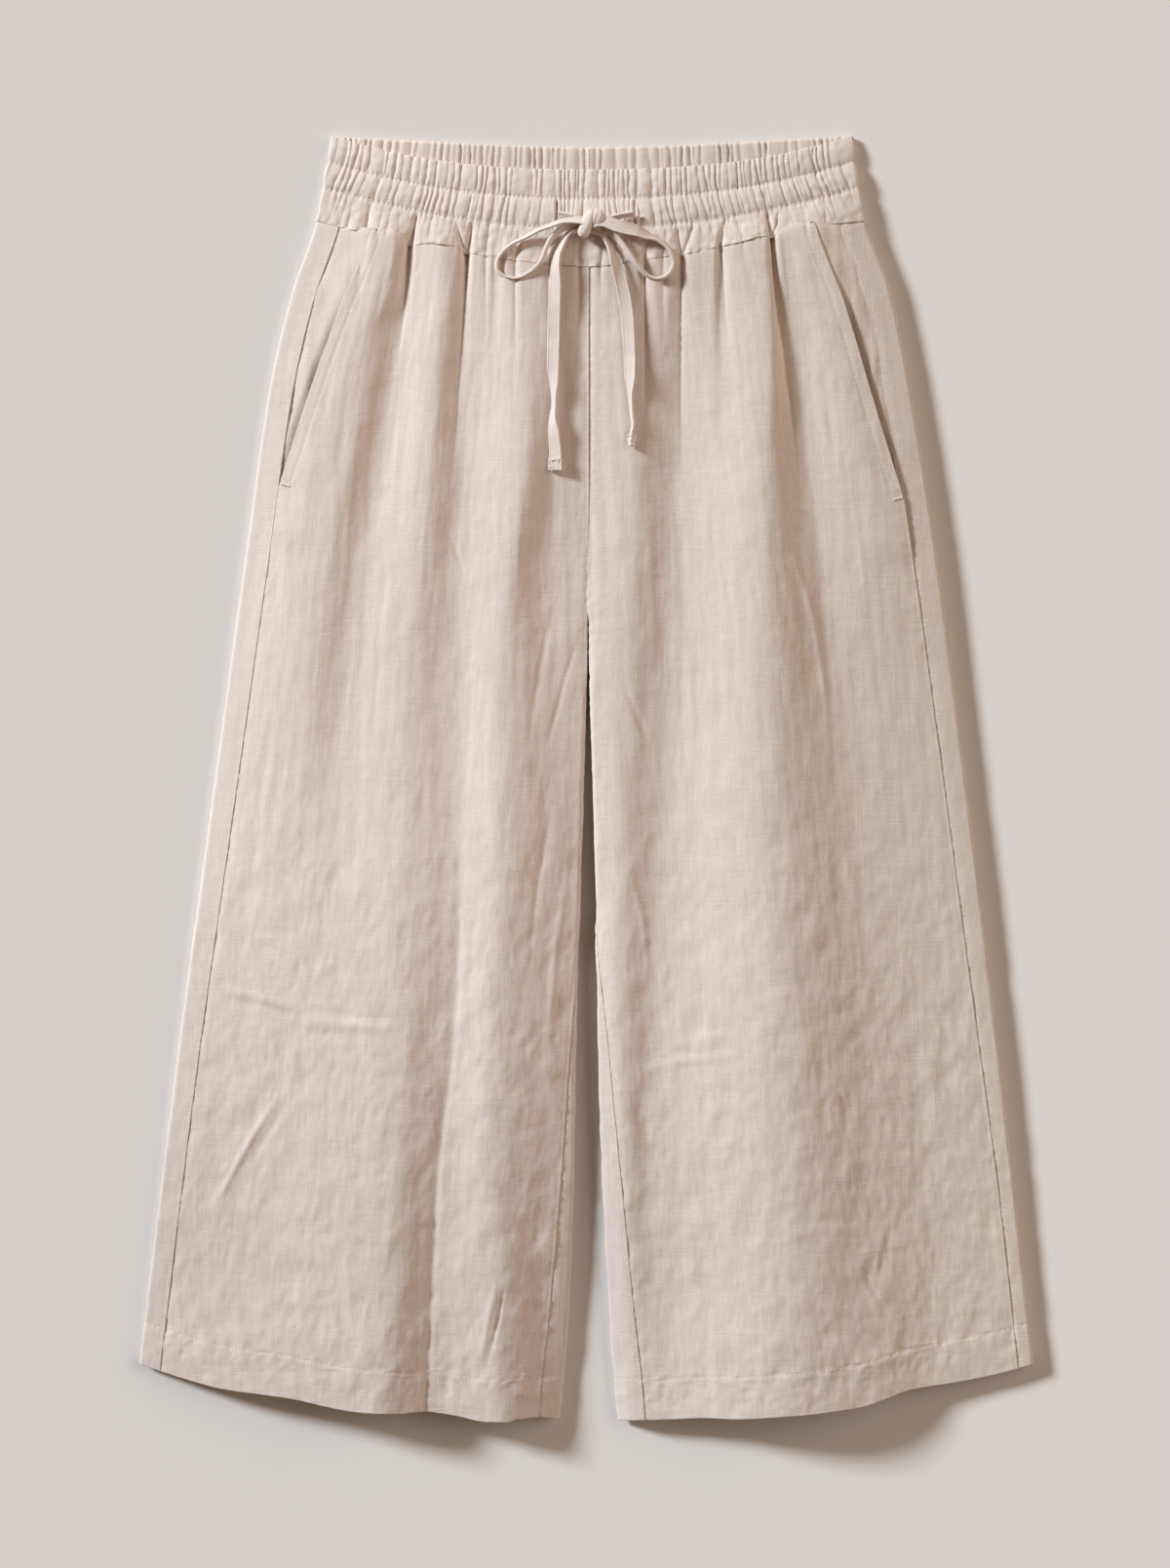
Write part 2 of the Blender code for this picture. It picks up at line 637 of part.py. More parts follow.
def main():
    garment, cutters = start_scene()
    linen, tape = make_material("linen"), make_material("tape")
    for side in SIGN:
        facing_out = side == "right"
        thicken(skin(f"front_{side}", front_panel(side), linen, garment, flip=facing_out), CLOTH)
        thicken(skin(f"back_{side}", back_panel(side), linen, garment, flip=facing_out), CLOTH)
        thicken(skin(f"pocket_facing_{side}", pocket_facing(side), linen, garment, flip=facing_out), CLOTH)
    band = thicken(skin("waistband", waistband(), linen, garment), BAND_CLOTH)
    cut_slits(band, cutters)
    for name in ROUTES:
        make_tape(name, tape, garment)
    make_knot(tape, garment)


main()
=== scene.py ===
"""The looks of the drawstring bermuda shorts: linen laid flat on a pale floor, seen from straight above.

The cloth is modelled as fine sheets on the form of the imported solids: +Z is up, the waist points to +Y and
the wearer's right leg lies at -X. Sizes are in millimetres and become metres where a mesh is made. A place
on the garment is given by x, by how far it lies below the waistband's top corners ("drop") and by its
height z. In the formulas of the relief a factor is a height and a divisor is how far it reaches.
"""

import math
from collections import namedtuple

import bpy
import numpy as np
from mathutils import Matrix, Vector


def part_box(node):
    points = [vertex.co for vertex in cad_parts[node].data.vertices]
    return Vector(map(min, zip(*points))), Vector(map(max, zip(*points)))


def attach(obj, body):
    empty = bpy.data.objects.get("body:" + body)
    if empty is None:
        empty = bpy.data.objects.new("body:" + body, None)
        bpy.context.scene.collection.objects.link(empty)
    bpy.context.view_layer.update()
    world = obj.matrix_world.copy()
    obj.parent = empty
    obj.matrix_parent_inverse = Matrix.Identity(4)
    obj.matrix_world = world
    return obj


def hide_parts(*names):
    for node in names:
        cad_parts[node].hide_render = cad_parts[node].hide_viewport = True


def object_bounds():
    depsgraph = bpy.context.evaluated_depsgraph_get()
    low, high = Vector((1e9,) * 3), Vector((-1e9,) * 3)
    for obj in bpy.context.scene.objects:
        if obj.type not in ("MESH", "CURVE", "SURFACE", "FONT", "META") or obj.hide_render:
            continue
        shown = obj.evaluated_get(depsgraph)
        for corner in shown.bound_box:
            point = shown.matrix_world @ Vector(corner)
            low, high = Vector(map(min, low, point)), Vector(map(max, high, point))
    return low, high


MM = 0.001

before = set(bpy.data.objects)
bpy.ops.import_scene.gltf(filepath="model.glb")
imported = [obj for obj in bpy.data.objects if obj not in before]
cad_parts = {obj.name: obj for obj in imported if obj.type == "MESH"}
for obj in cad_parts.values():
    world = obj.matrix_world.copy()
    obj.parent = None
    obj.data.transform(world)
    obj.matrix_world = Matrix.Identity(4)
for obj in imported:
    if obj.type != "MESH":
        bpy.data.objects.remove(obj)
cad_low, cad_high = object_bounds()

# The driving sizes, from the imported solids.
LENGTH = (cad_high.y - cad_low.y) / MM
CENTRE_X = (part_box("front_right")[1].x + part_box("front_left")[0].x) / 2 / MM
MIDDLE_Y = (cad_high.y + cad_low.y) / 2 / MM

SIGN = {"right": -1, "left": 1}


def table(columns, rows):
    """Rows with named columns."""
    Row = namedtuple("Row", columns)
    return [Row(*row) for row in rows]


# The waistband: how far its top edge and its lower seam lie below the top corners.
BAND_SEAM_SIDE = 55.0
BAND_TOP_FRONT, BAND_SEAM_FRONT = 21.6, 84.4
BAND_TOP_BACK, BAND_SEAM_BACK = 7.2, 62.5
HEM_SIDE, HEM_INNER = 786.0, LENGTH
LEG_LENGTH = HEM_INNER - BAND_SEAM_FRONT
# The powers that bend a line across the garment down from its sides to its middle.
TOP_FRONT_BEND, TOP_BACK_BEND, WAIST_BEND, HEM_BEND = 2.5, 1.4, 1.6, 2.4
# The legs part at the first drop, and each is a tube of its own from the second.
SLIT_START, CROTCH = 297.0, 375.0
# How far the inner edges are rounded off.
INNER_ROUND = 2.4
# The inner edges overhang: the lip of each, as a share of its height, and how far the cloth runs back under.
INNER_LIP = 0.86
UNDERCUT = 14.0
# How far the outer fold is rounded off, as a share of its height.
OUTER_ROUND = 0.08
# How far past a fold the back's fine columns reach on to the floor.
WRAP = 12.0
# Where the flat cloth above the slit ends, just off the centre line.
FLAT_INNER_EDGE = 0.02
# How many points an upper face has from edge to edge.
RING_STEPS = 700

# Distance from x = 0 to the outer fold of each leg.
OUTLINE = table("drop right left", [
    (0, 162.0, 170.0),
    (22, 166.0, 172.5),
    (55, 172.5, 179.0),
    (100, 188.0, 195.0),
    (162, 202.5, 207.5),
    (256, 216.0, 222.5),
    (412, 237.5, 243.0),
    (600, 263.0, 265.5),
    (786, 286.0, 286.0),
])

# The gap between the legs, from the centre line to each inner edge.
INNER_EDGES = table("drop right left", [
    (SLIT_START, FLAT_INNER_EDGE, FLAT_INNER_EDGE),
    (304, 0.7, 1.0),
    (312, 0.9, 1.9),
    (337, 1.1, 1.6),
    (362, 1.9, 0.7),
    (387, 2.5, 1.3),
    (487, 5.6, 4.3),
    (587, 8.2, 5.6),
    (662, 9.5, 8.0),
    (762, 13.2, 13.0),
    (822, 18.2, 18.0),
])

# How far the seams lie in from the folds, on the upper face.
SEAM_INSETS = table("drop side_right side_left inseam_right inseam_left", [
    (55, 14.5, 15.5, 0.0, 0.0),
    (256, 15.0, 15.0, 0.0, 0.0),
    (500, 14.0, 13.0, 0.0, 0.0),
    (587, 13.5, 11.5, 4.0, 7.0),
    (700, 13.5, 9.5, 10.0, 14.0),
    (790, 13.5, 9.5, 14.5, 18.0),
])

# Heights of the upper face at the outer folds and at the inner edges.
HEIGHTS = table("drop fold_right fold_left inner_right inner_left", [
    (55, 8.5, 8.5, 12.5, 12.5),
    (100, 8.5, 8.5, 12.5, 12.5),
    (200, 8.5, 9.0, 12.5, 12.5),
    (310, 8.5, 9.0, 11.0, 12.5),
    (380, 8.3, 8.8, 11.0, 13.0),
    (450, 8.0, 8.5, 10.5, 12.0),
    (600, 7.5, 8.5, 9.8, 10.0),
    (700, 7.0, 8.0, 8.6, 8.0),
    (760, 6.2, 7.8, 6.8, 6.0),
    (822, 5.5, 7.5, 5.6, 3.6),
])

# The large folds of the front, in sections across each leg: (x, height) of its crests and troughs, in the
# direction of +x, so from the outer fold inwards on the right leg and the other way on the left one.
RIGHT_SECTIONS = table("drop crest_1 trough_1 crest_2 trough_2 crest_3 foot", [
    (50, (-124, 13.2), (-110, 12.2), (-93, 14.2), (-75, 12.8), (-48, 14.4), (-12, 13.4)),
    (75, (-124, 14.4), (-112, 11.2), (-91, 15.4), (-74, 12.0), (-47, 15.8), (-12, 14.0)),
    (100, (-127, 15.2), (-115, 11.0), (-90, 16.0), (-75, 12.2), (-45, 17.0), (-12, 14.2)),
    (125, (-138, 15.6), (-120, 11.2), (-94, 17.0), (-75, 12.3), (-40, 18.4), (-12, 14.4)),
    (162, (-144, 16.8), (-124, 11.0), (-97, 17.8), (-77, 12.2), (-38, 20.0), (-13, 14.0)),
    (225, (-157, 17.8), (-135, 12.2), (-101, 19.4), (-79, 13.8), (-41, 22.0), (-21, 14.4)),
    (287, (-169, 17.4), (-144, 13.2), (-107, 19.0), (-83, 14.4), (-49, 21.6), (-26, 14.0)),
    (350, (-177, 16.4), (-152, 13.0), (-114, 18.2), (-83, 14.4), (-52, 21.4), (-22, 14.6)),
    (425, (-180, 15.4), (-160, 14.8), (-116, 19.4), (-84, 16.0), (-54, 23.0), (-22, 15.6)),
    (500, (-184, 15.4), (-163, 16.8), (-119, 21.6), (-83, 17.6), (-56, 23.8), (-23, 15.6)),
    (575, (-190, 15.2), (-163, 18.4), (-119, 23.0), (-86, 17.2), (-60, 23.2), (-23, 15.4)),
    (650, (-200, 14.6), (-163, 20.6), (-122, 25.0), (-90, 17.8), (-60, 23.6), (-25, 14.4)),
    (725, (-215, 14.2), (-165, 22.8), (-126, 27.8), (-94, 18.8), (-58, 24.0), (-27, 13.4)),
    (786, (-225, 16.6), (-165, 26.0), (-130, 30.6), (-94, 19.6), (-57, 24.0), (-28, 12.6)),
    (825, (-225, 16.6), (-165, 26.0), (-132, 30.2), (-93, 18.6), (-56, 24.0), (-28, 12.2)),
])
LEFT_SECTIONS = table("drop crest_1 trough_1 crest_2 trough_2 crest_3", [
    (50, (18, 13.8), (58, 12.8), (112, 15.0), (125, 12.6), (140, 13.8)),
    (75, (20, 14.0), (60, 13.0), (117, 16.4), (128, 12.6), (146, 14.0)),
    (100, (23, 13.6), (61, 11.4), (118, 17.4), (130, 11.8), (155, 13.6)),
    (125, (24, 14.0), (60, 10.2), (118, 18.6), (132, 11.2), (158, 13.6)),
    (162, (26, 15.2), (60, 9.2), (117, 20.4), (137, 10.6), (160, 13.8)),
    (200, (29, 16.2), (60, 9.2), (114, 22.0), (142, 10.8), (168, 14.0)),
    (250, (30, 16.8), (58, 10.6), (113, 24.6), (149, 12.0), (175, 14.0)),
    (300, (27, 16.2), (56, 10.2), (115, 25.8), (158, 12.8), (181, 13.6)),
    (350, (24, 15.2), (54, 9.4), (116, 25.8), (165, 12.0), (190, 11.4)),
    (425, (22, 15.8), (50, 10.2), (116, 26.6), (174, 12.4), (206, 10.4)),
    (500, (22, 15.8), (47, 10.6), (121, 28.2), (181, 13.4), (218, 9.8)),
    (575, (23, 15.2), (43, 11.2), (124, 29.8), (187, 14.0), (218, 9.8)),
    (650, (25, 14.4), (40, 11.6), (129, 30.6), (187, 16.6), (220, 10.2)),
    (725, (28, 13.0), (44, 12.0), (134, 30.6), (187, 18.8), (226, 10.4)),
    (786, (32, 11.6), (48, 13.0), (128, 31.0), (178, 22.6), (226, 10.8)),
    (825, (32, 11.0), (48, 13.0), (128, 31.0), (180, 23.4), (226, 10.8)),
])

# Small valleys of the front under the waistband, with a steep flank towards -x and a gentle one towards +x.
FOLD_COLUMNS = "drops places depths steep gentle"
FOLDS = table(FOLD_COLUMNS, [
    ((74, 100, 150), (-58, -58, -60), (1.2, 1.6, 0.0), (2, 3, 5), (4, 6, 8)),
    ((80, 115, 170), (-2, -4, -6), (1.0, 1.6, 0.0), (3, 4, 6), (5, 7, 9)),
    ((66, 110, 160, 215), (86, 86, 87, 89), (1.3, 2.0, 1.2, 0.0), (2.5, 3.2, 4, 6), (5, 7, 9, 12)),
    (
        (440, 475, 538, 600, 662, 725, 780, 822),
        (-79, -80, -82, -87, -94.5, -98, -101, -103),
        (0.0, 0.5, 0.8, 0.9, 1.0, 1.1, 1.1, 1.1),
        (5, 5, 5, 4.5, 4, 3, 2.4, 2.4),
        (2.4, 2.4, 2.4, 2.4, 2.4, 2.4, 2.4, 2.4),
    ),
])
FOLD_ONSET = 20.0

# How far the waist seam and the hem stray from their smooth curves, by (x, shift down), and over which shares
# of the leg the strays fade.
SEAM_STRAY_REACH, HEM_STRAY_REACH = 0.08, 0.12
SEAM_STRAY = [
    (-180, 0), (-150, 0), (-121, -3.6), (-113, 0.8), (-100, -2.2), (-84, -3.2), (-77, -0.8), (-60, -0.5),
    (-30, 0), (10, 0), (38, -2.4), (60, -2.6), (84, -3.6), (101, -4.4), (112, -5.2), (120, -4.4), (132, -6.2),
    (156, -3.4), (180, 0),
]
HEM_STRAY = [
    (-286, 0), (-240, 0.6), (-206, -2.0), (-187, -3.0), (-150, -1.0), (-119, -2.5), (-103, -4.4), (-84, -3.0),
    (-64, 0), (-49, 0), (-44, -1.8), (-30, -2.5), (-16, -1.0), (16, 0), (55, -1.0), (74, -1.8), (100, -0.5),
    (122, -0.6), (150, 0), (174, 0), (189, -2.0), (208, -4.6), (237, -2.5), (265, -0.6), (286, 0),
]

# Folds of the back, lifted off the floor: valleys from the other side.
BACK_FOLDS = table(FOLD_COLUMNS, [
    ((80, 200, 420), (-118, -132, -150), (0.8, 1.8, 0.0), (8, 11, 16), (10, 16, 24)),
    ((300, 560, 822), (-84, -96, -112), (0.0, 2.0, 3.2), (12, 14, 16), (20, 26, 30)),
    ((80, 240, 400), (-38, -44, -50), (0.7, 1.6, 0.0), (7, 10, 14), (9, 14, 20)),
    ((80, 220, 460), (64, 58, 48), (0.8, 1.9, 0.0), (8, 12, 16), (10, 16, 22)),
    ((140, 420, 822), (126, 158, 190), (1.2, 2.2, 3.4), (9, 14, 18), (12, 20, 28)),
])

# Creases: soft ridges, and troughs where the height is negative, along lines of (x, drop).
CREASES = table("line height width", [
    ([(-236, 546), (-212, 551), (-184, 559)], 1.3, 2.0),
    ([(-230, 552), (-208, 556), (-186, 563)], -0.7, 2.4),
    ([(-187, 566), (-160, 569), (-120, 570)], 1.2, 2.2),
    ([(-176, 559), (-150, 563), (-122, 566)], -0.8, 1.8),
    ([(-196, 614), (-213, 640), (-226, 664), (-238, 684)], 1.3, 1.9),
    ([(-190, 617), (-206, 642), (-220, 666)], -0.8, 2.6),
    ([(-212, 511), (-203, 515), (-192, 521)], 0.8, 1.6),
    ([(-209, 516), (-199, 521)], -0.6, 1.6),
    ([(-98, 512), (-84, 515), (-66, 514)], 0.6, 1.8),
    ([(38, 598), (62, 592), (98, 588)], 1.1, 1.7),
    ([(48, 587), (70, 578), (92, 576)], 0.5, 2.0),
    ([(-52, 736), (-56, 757), (-62, 782)], -1.2, 1.2),
    ([(-57, 732), (-62, 757), (-67, 783)], 0.9, 1.9),
    ([(-5, 322), (-14, 350), (-25, 392)], -0.6, 1.7),
    ([(-19, 296), (-29, 340), (-38, 396)], -0.5, 2.2),
    ([(-22, 430), (-31, 480), (-37, 540)], -0.6, 2.0),
    ([(-12, 470), (-19, 520), (-24, 580)], 0.6, 2.2),
    ([(23, 348), (31, 368), (41, 390)], -0.8, 2.0),
    ([(176, 722), (183, 738), (191, 750)], -0.7, 1.5),
    ([(190, 700), (186, 722), (183, 736)], 0.5, 1.5),
    ([(130, 262), (146, 312), (156, 382)], 0.7, 2.2),
    ([(28, 470), (36, 500), (40, 540)], 0.6, 2.0),
    ([(62, 640), (84, 646), (110, 642)], 0.5, 2.0),
    ([(-160, 700), (-130, 706), (-112, 702)], 0.5, 2.0),
    ([(-205, 740), (-176, 748), (-150, 744)], 0.5, 2.2),
    ([(120, 706), (150, 698), (176, 702)], 0.5, 2.0),
    ([(-92, 250), (-84, 262), (-78, 282)], -0.6, 1.8),
    ([(148, 596), (162, 612), (168, 640)], -0.7, 2.0),
])

# The small wrinkles: the rows and columns of their maps, how wide the streaks fan out, and from which drop
# and over what stretch the cloth gets more crumpled and its level rumples come in.
WRINKLE_MAP = (900, 680)
FAN_WIDTH = 250.0
CRUMPLED_FROM, CRUMPLED_OVER = 330.0, 260.0
LEVEL_FROM, LEVEL_OVER = 440.0, 200.0

# The slant pockets: the mouth runs in a soft bend from the waist seam out to the side seam, and the facing
# reaches in under the front and down past the mouth's end.
Pocket = namedtuple("Pocket", "offset end_drop")
POCKETS = {"right": Pocket(20.5, 225.0), "left": Pocket(17.0, 234.0)}
MOUTH_BEND = 1.6
POCKET_UNDERLAP = 12.0
POCKET_TAIL = 10.0
# The front's lift over the facing, how far past the facing it starts to fade, and over what stretch.
POCKET_LIFT = 1.5
LIFT_INSET, LIFT_MARGIN, LIFT_FADE_OUT, LIFT_FADE_DOWN = 3.0, 14.0, 18.0, 22.0

# How far apart the rows of cloth lie, above and below a place down the leg, in millimetres.
ROWS_WIDEN = 260.0
FRONT_ROW_STEPS, BACK_ROW_STEPS = (1.7, 2.7), (2.6, 2.9)
# The columns of a front, of a pocket's facing, and of a back's stretches round the outer fold, along the
# floor and round the inner edge.
FRONT_PANEL_COLUMNS, FACING_COLUMNS = 222, 30
BACK_STRETCHES = (18, 76, 16)

# Seams, hems and their edges, and how far in from them their stitches run.
SEAM_GAP = 0.3
SEAM_STITCHES, MOUTH_STITCHES = 1.7, 6.5
CENTRE_SEAM_START = 80.0
HEM_HEIGHT = 26.0
HEM_THICK = 1.4
# How much higher the back's hem lies, and over which share of the leg that comes in.
BACK_HEM_SHORTER, BACK_HEM_REACH = 3.0, 0.1

# Beside a seam: the rise of the upper edge, the groove of its stitches, how deep the lower edge lies, and the
# puckers, each with how far it reaches. Under the waistband the cloth dips in the same way.
EDGE_RISE, EDGE_REACH = 0.12, 5.0
GROOVE_DEPTH, GROOVE_WIDTH = 0.12, 0.7
UNDER_DEPTH, UNDER_REACH = 0.3, 4.0
PUCKER_SIZE, PUCKER_REACH = 0.09, 7.0
FRONT_DIP, FRONT_DIP_REACH = 0.28, 2.4
WAIST_DIP, WAIST_DIP_REACH = 0.3, 2.0

# Past an edge and below the skin, in turn: an edge that lies on top is rounded and folded under, and the edge
# beneath it runs on under it.
OVER_EDGE = [(0.12, 0.2), (0.12, 0.7), (-0.6, 1.0), (-2.4, 1.0)]
UNDER_EDGE = [(1.2, 0.3), (2.6, 0.5)]
INSEAM_UNDER_EDGE = [(0.2, 0.3), (0.3, 0.8), (-0.4, 1.1)]
WAIST_UNDER_EDGE = [(1.5, 0.4), (3.0, 0.8)]

# The waistband: stitch lines as shares of its height, and its gathers.
STITCH_LINES = (0.3, 0.6)
# How far the channels puff up, how high the front and the side folds lie, and how thick the band is.
BAND_PUFF = 1.3
BAND_FRONT_HEIGHT, BAND_FOLD_HEIGHT = 12.5, 8.5
BAND_THICK = 3.0
# How much the front of the band climbs from its top edge to the lower stitch line.
BAND_RISE = 4.4
# Between gathers, in most places and in the few wide ones, and the share of gathers that is barely there.
GATHER_PITCH, WIDE_PITCH = (2.3, 5.2), (6.5, 9.5)
MISSING_GATHERS = 0.12
GATHER_DEPTH, GATHER_REACH = 1.15, 16.0
# The way round the band, and the rows of its inner face as shares of its height.
GIRTH = 4 * 178.0
BAND_INNER_ROWS = [
    0.008, 0.025, 0.06, 0.1, 0.15, 0.2, 0.25, 0.28, 0.3, 0.32, 0.36, 0.42, 0.5, 0.6, 0.72, 0.86, 1.0,
]
# The heights in the band at which gathers are set out, and how far they lean outwards there.
BAND_HEIGHTS = (0.0, 0.1, 0.2, 0.3, 0.4, 0.5, 0.6, 0.7, 0.85, 1.0)
GATHER_LEAN = (0, 0, 0, 0, 0.3, 1.0, 1.4, 1.8, 2.4, 3.0)
# Between the small tucks of the stitch lines, which is also between their stitches.
TUCK_PITCH = 3.1

# The kinds of stitch: pitch, length, radius, height over the cloth and slant.
SEAM_STITCH = (3.0, 2.3, 0.17, -0.02, 0.0)
HEM_STITCH = (3.0, 2.3, 0.17, 0.02, 0.0)
BAND_STITCH = (TUCK_PITCH, 1.7, 0.22, 0.12, 0.3)
JOIN_STITCH = (2.4, 1.8, 0.17, 0.35, 0.0)
BARTACK_STITCH = (0.75, 1.6, 0.25, 0.3, 9.0)
SLIT_STITCH = (0.8, 1.7, 0.26, 0.1, 9.0)

# The columns in a quarter of the band.
FRONT_COLUMNS, BACK_COLUMNS = 430, 220

# Gathers that run on from the lower stitch line to the waist seam and into the front panels: their place on
# the line and on the seam, depth at the seam, reach into the panel, and flanks towards -x and +x.
PLEATS = table("above x depth reach before past", [
    (-147.5, -152.7, 1.6, 14.0, 3.0, 3.0),
    (-136.5, -141.3, 3.6, 40.0, 6.0, 5.0),
    (-128.0, -133.0, 0.9, 6.0, 2.5, 3.0),
    (-122.5, -127.7, 0.8, 4.0, 2.5, 3.0),
    (-107.0, -112.2, 4.0, 80.0, 5.0, 4.0),
    (-108.0, -112.0, 2.6, 30.0, 2.4, 1.8),
    (-86.0, -76.6, 2.6, 9.0, 3.5, 2.6),
    (-71.5, -75.2, 3.7, 150.0, 7.0, 3.4),
    (-72.0, -75.4, 2.6, 30.0, 2.4, 1.8),
    (-61.0, -64.2, 1.8, 70.0, 4.0, 3.6),
    (-52.0, -54.5, 0.9, 16.0, 3.0, 3.0),
    (-42.0, -45.3, 2.6, 62.0, 6.0, 3.6),
    (-25.0, -24.0, 1.4, 44.0, 4.5, 3.5),
    (-5.0, -4.4, 1.8, 44.0, 4.5, 3.5),
    (12.0, 9.5, 1.2, 28.0, 3.5, 3.5),
    (25.0, 22.2, 1.2, 26.0, 3.0, 3.6),
    (39.5, 37.8, 3.6, 110.0, 5.0, 4.6),
    (52.0, 49.5, 1.3, 50.0, 4.0, 3.6),
    (71.0, 62.0, 2.6, 10.0, 3.0, 3.6),
    (58.0, 60.8, 4.0, 140.0, 6.5, 6.0),
    (90.0, 85.8, 2.8, 60.0, 4.0, 4.6),
    (98.5, 100.0, 0.8, 12.0, 2.0, 3.0),
    (109.5, 112.0, 1.0, 6.0, 2.5, 2.5),
    (125.5, 120.4, 2.4, 8.0, 2.0, 4.0),
    (113.5, 119.8, 6.4, 160.0, 6.5, 3.4),
    (114.0, 119.8, 3.0, 70.0, 2.0, 1.8),
    (137.5, 141.0, 0.9, 10.0, 2.5, 2.5),
    (151.5, 154.0, 1.2, 12.0, 3.0, 3.0),
])

# How far they lean outwards with each millimetre of drop, for each millimetre of x, and from which x on; and
# the small gathers between them.
SPREAD, SPREAD_FROM = 0.0009, 75.0
SMALL_PLEATS_END, SMALL_PLEATS_PITCH, SMALL_PLEATS_DEPTH = 160.0, 6.5, 0.35

# The slits that the tape comes out of, in the front of the lower channel: their x, depth, drop and length.
SLIT_PLACES = (-18.6, 31.0)
SLIT_DEPTHS = (3.2, 1.7)
SLIT_DROP, SLIT_LENGTH = 49.5, 15.0

# The tape: its width, its thickness, the hem at its right end and how far apart its rings lie.
TAPE_WIDTH, TAPE_THICK, TAPE_HEM, TAPE_STEP = 8.0, 1.2, 7.4, 0.8
# The frayed nub at the left end: where the tape starts to shrink, and over what length.
TAPE_NUB, NUB_FADE = 13.0, 8.0
# The tape's route from each slit through the knot and round a loop to its free end, as (x, drop, z, roll),
# where roll is 0 face up and 90 on edge.
ROUTES = {
    "right": [
        (-17.9, 51.6, 14.2, 42), (-10.0, 53.8, 16.4, 44), (-1.0, 57.0, 16.6, 40),
        (4.6, 58.8, 17.6, 30), (4.4, 57.0, 20.2, 30), (-3.0, 55.6, 21.4, 40),
        (-16.3, 56.5, 21.6, 52), (-24.1, 59.3, 21.2, 54), (-31.9, 62.4, 20.3, 57),
        (-39.7, 66.3, 18.8, 62), (-47.5, 70.5, 18.4, 70), (-53.8, 75.8, 18.0, 76),
        (-56.9, 81.3, 17.8, 76), (-56.5, 86.8, 17.8, 76), (-52.2, 91.0, 17.8, 76),
        (-45.1, 92.4, 17.8, 76), (-37.3, 89.4, 18.4, 76), (-31.9, 85.2, 19.3, 74),
        (-27.9, 79.7, 19.6, 70), (-25.3, 72.7, 19.2, 66), (-21.7, 66.4, 18.6, 58),
        (-16.3, 61.3, 18.0, 50), (-9.2, 57.8, 17.4, 44), (-1.0, 57.6, 17.0, 50),
        (2.6, 59.4, 16.8, 60), (0.4, 61.0, 16.8, 60), (-4.2, 60.4, 17.0, 56),
        (-9.7, 62.1, 17.4, 54), (-13.5, 66.8, 17.8, 52), (-16.0, 72.3, 18.2, 50),
        (-18.1, 77.3, 18.6, 46), (-19.0, 81.6, 18.8, 42), (-19.6, 98.4, 18.2, 26),
        (-20.3, 115.3, 17.8, 12), (-20.7, 132.2, 17.8, 12), (-20.9, 144.8, 17.8, 16),
        (-21.1, 157.4, 17.9, 30), (-20.8, 165.9, 18.2, 44), (-20.7, 174.3, 18.4, 50),
        (-21.1, 182.8, 18.4, 44), (-20.5, 191.2, 18.0, 28), (-19.6, 203.9, 17.6, 16),
        (-19.6, 215.0, 17.4, 8),
    ],
    "left": [
        (30.3, 50.8, 14.4, -54), (20.5, 52.8, 16.6, -54), (9.0, 56.0, 16.8, -44),
        (3.0, 58.6, 17.6, -28), (3.4, 57.2, 20.2, -26), (11.1, 55.9, 21.4, -14),
        (18.1, 58.6, 21.6, -8), (25.2, 60.6, 21.4, -8), (32.2, 62.1, 19.8, -20),
        (39.3, 64.7, 17.6, -40), (46.3, 67.8, 16.8, -60), (51.8, 72.1, 16.4, -76),
        (55.0, 76.6, 16.2, -76), (56.0, 81.3, 15.4, -76), (54.1, 87.5, 16.2, -76),
        (49.4, 91.6, 16.2, -76), (43.9, 92.4, 16.2, -76), (39.3, 90.3, 16.8, -74),
        (33.8, 85.2, 18.0, -60), (29.1, 78.9, 18.9, -56), (24.4, 72.3, 19.0, -56),
        (19.7, 66.4, 18.4, -54), (15.0, 62.1, 17.8, -50), (10.3, 58.6, 17.4, -46),
        (4.0, 57.4, 17.0, -50), (0.6, 59.6, 16.8, -60), (4.6, 62.6, 17.0, -62),
        (9.7, 64.3, 17.4, -60), (13.5, 68.9, 17.8, -55), (16.6, 75.6, 18.4, -46),
        (19.0, 82.4, 17.8, -30), (22.5, 95.1, 16.8, -8), (25.4, 108.6, 16.2, 8),
        (27.0, 122.9, 16.2, 14), (27.6, 136.4, 16.6, 18), (28.1, 149.0, 17.2, 24),
        (28.4, 157.4, 18.0, 36), (28.4, 167.6, 19.0, 54), (29.3, 177.7, 19.6, 66),
        (30.1, 187.8, 20.2, 70), (29.7, 193.0, 20.0, 60), (28.8, 199.6, 19.6, 40),
    ],
}

# The knot: rounded lumps, each with its middle, half sizes, lean and number of creases.
KNOT_LUMPS = table("x drop z long wide high lean creases", [
    (0.6, 57.6, 19.6, 9.6, 4.2, 4.4, 24, 2.0),
    (6.6, 54.4, 18.8, 6.2, 5.2, 4.6, 30, 4.5),
    (-1.0, 61.4, 18.2, 5.0, 4.2, 4.2, 12, 1.0),
])

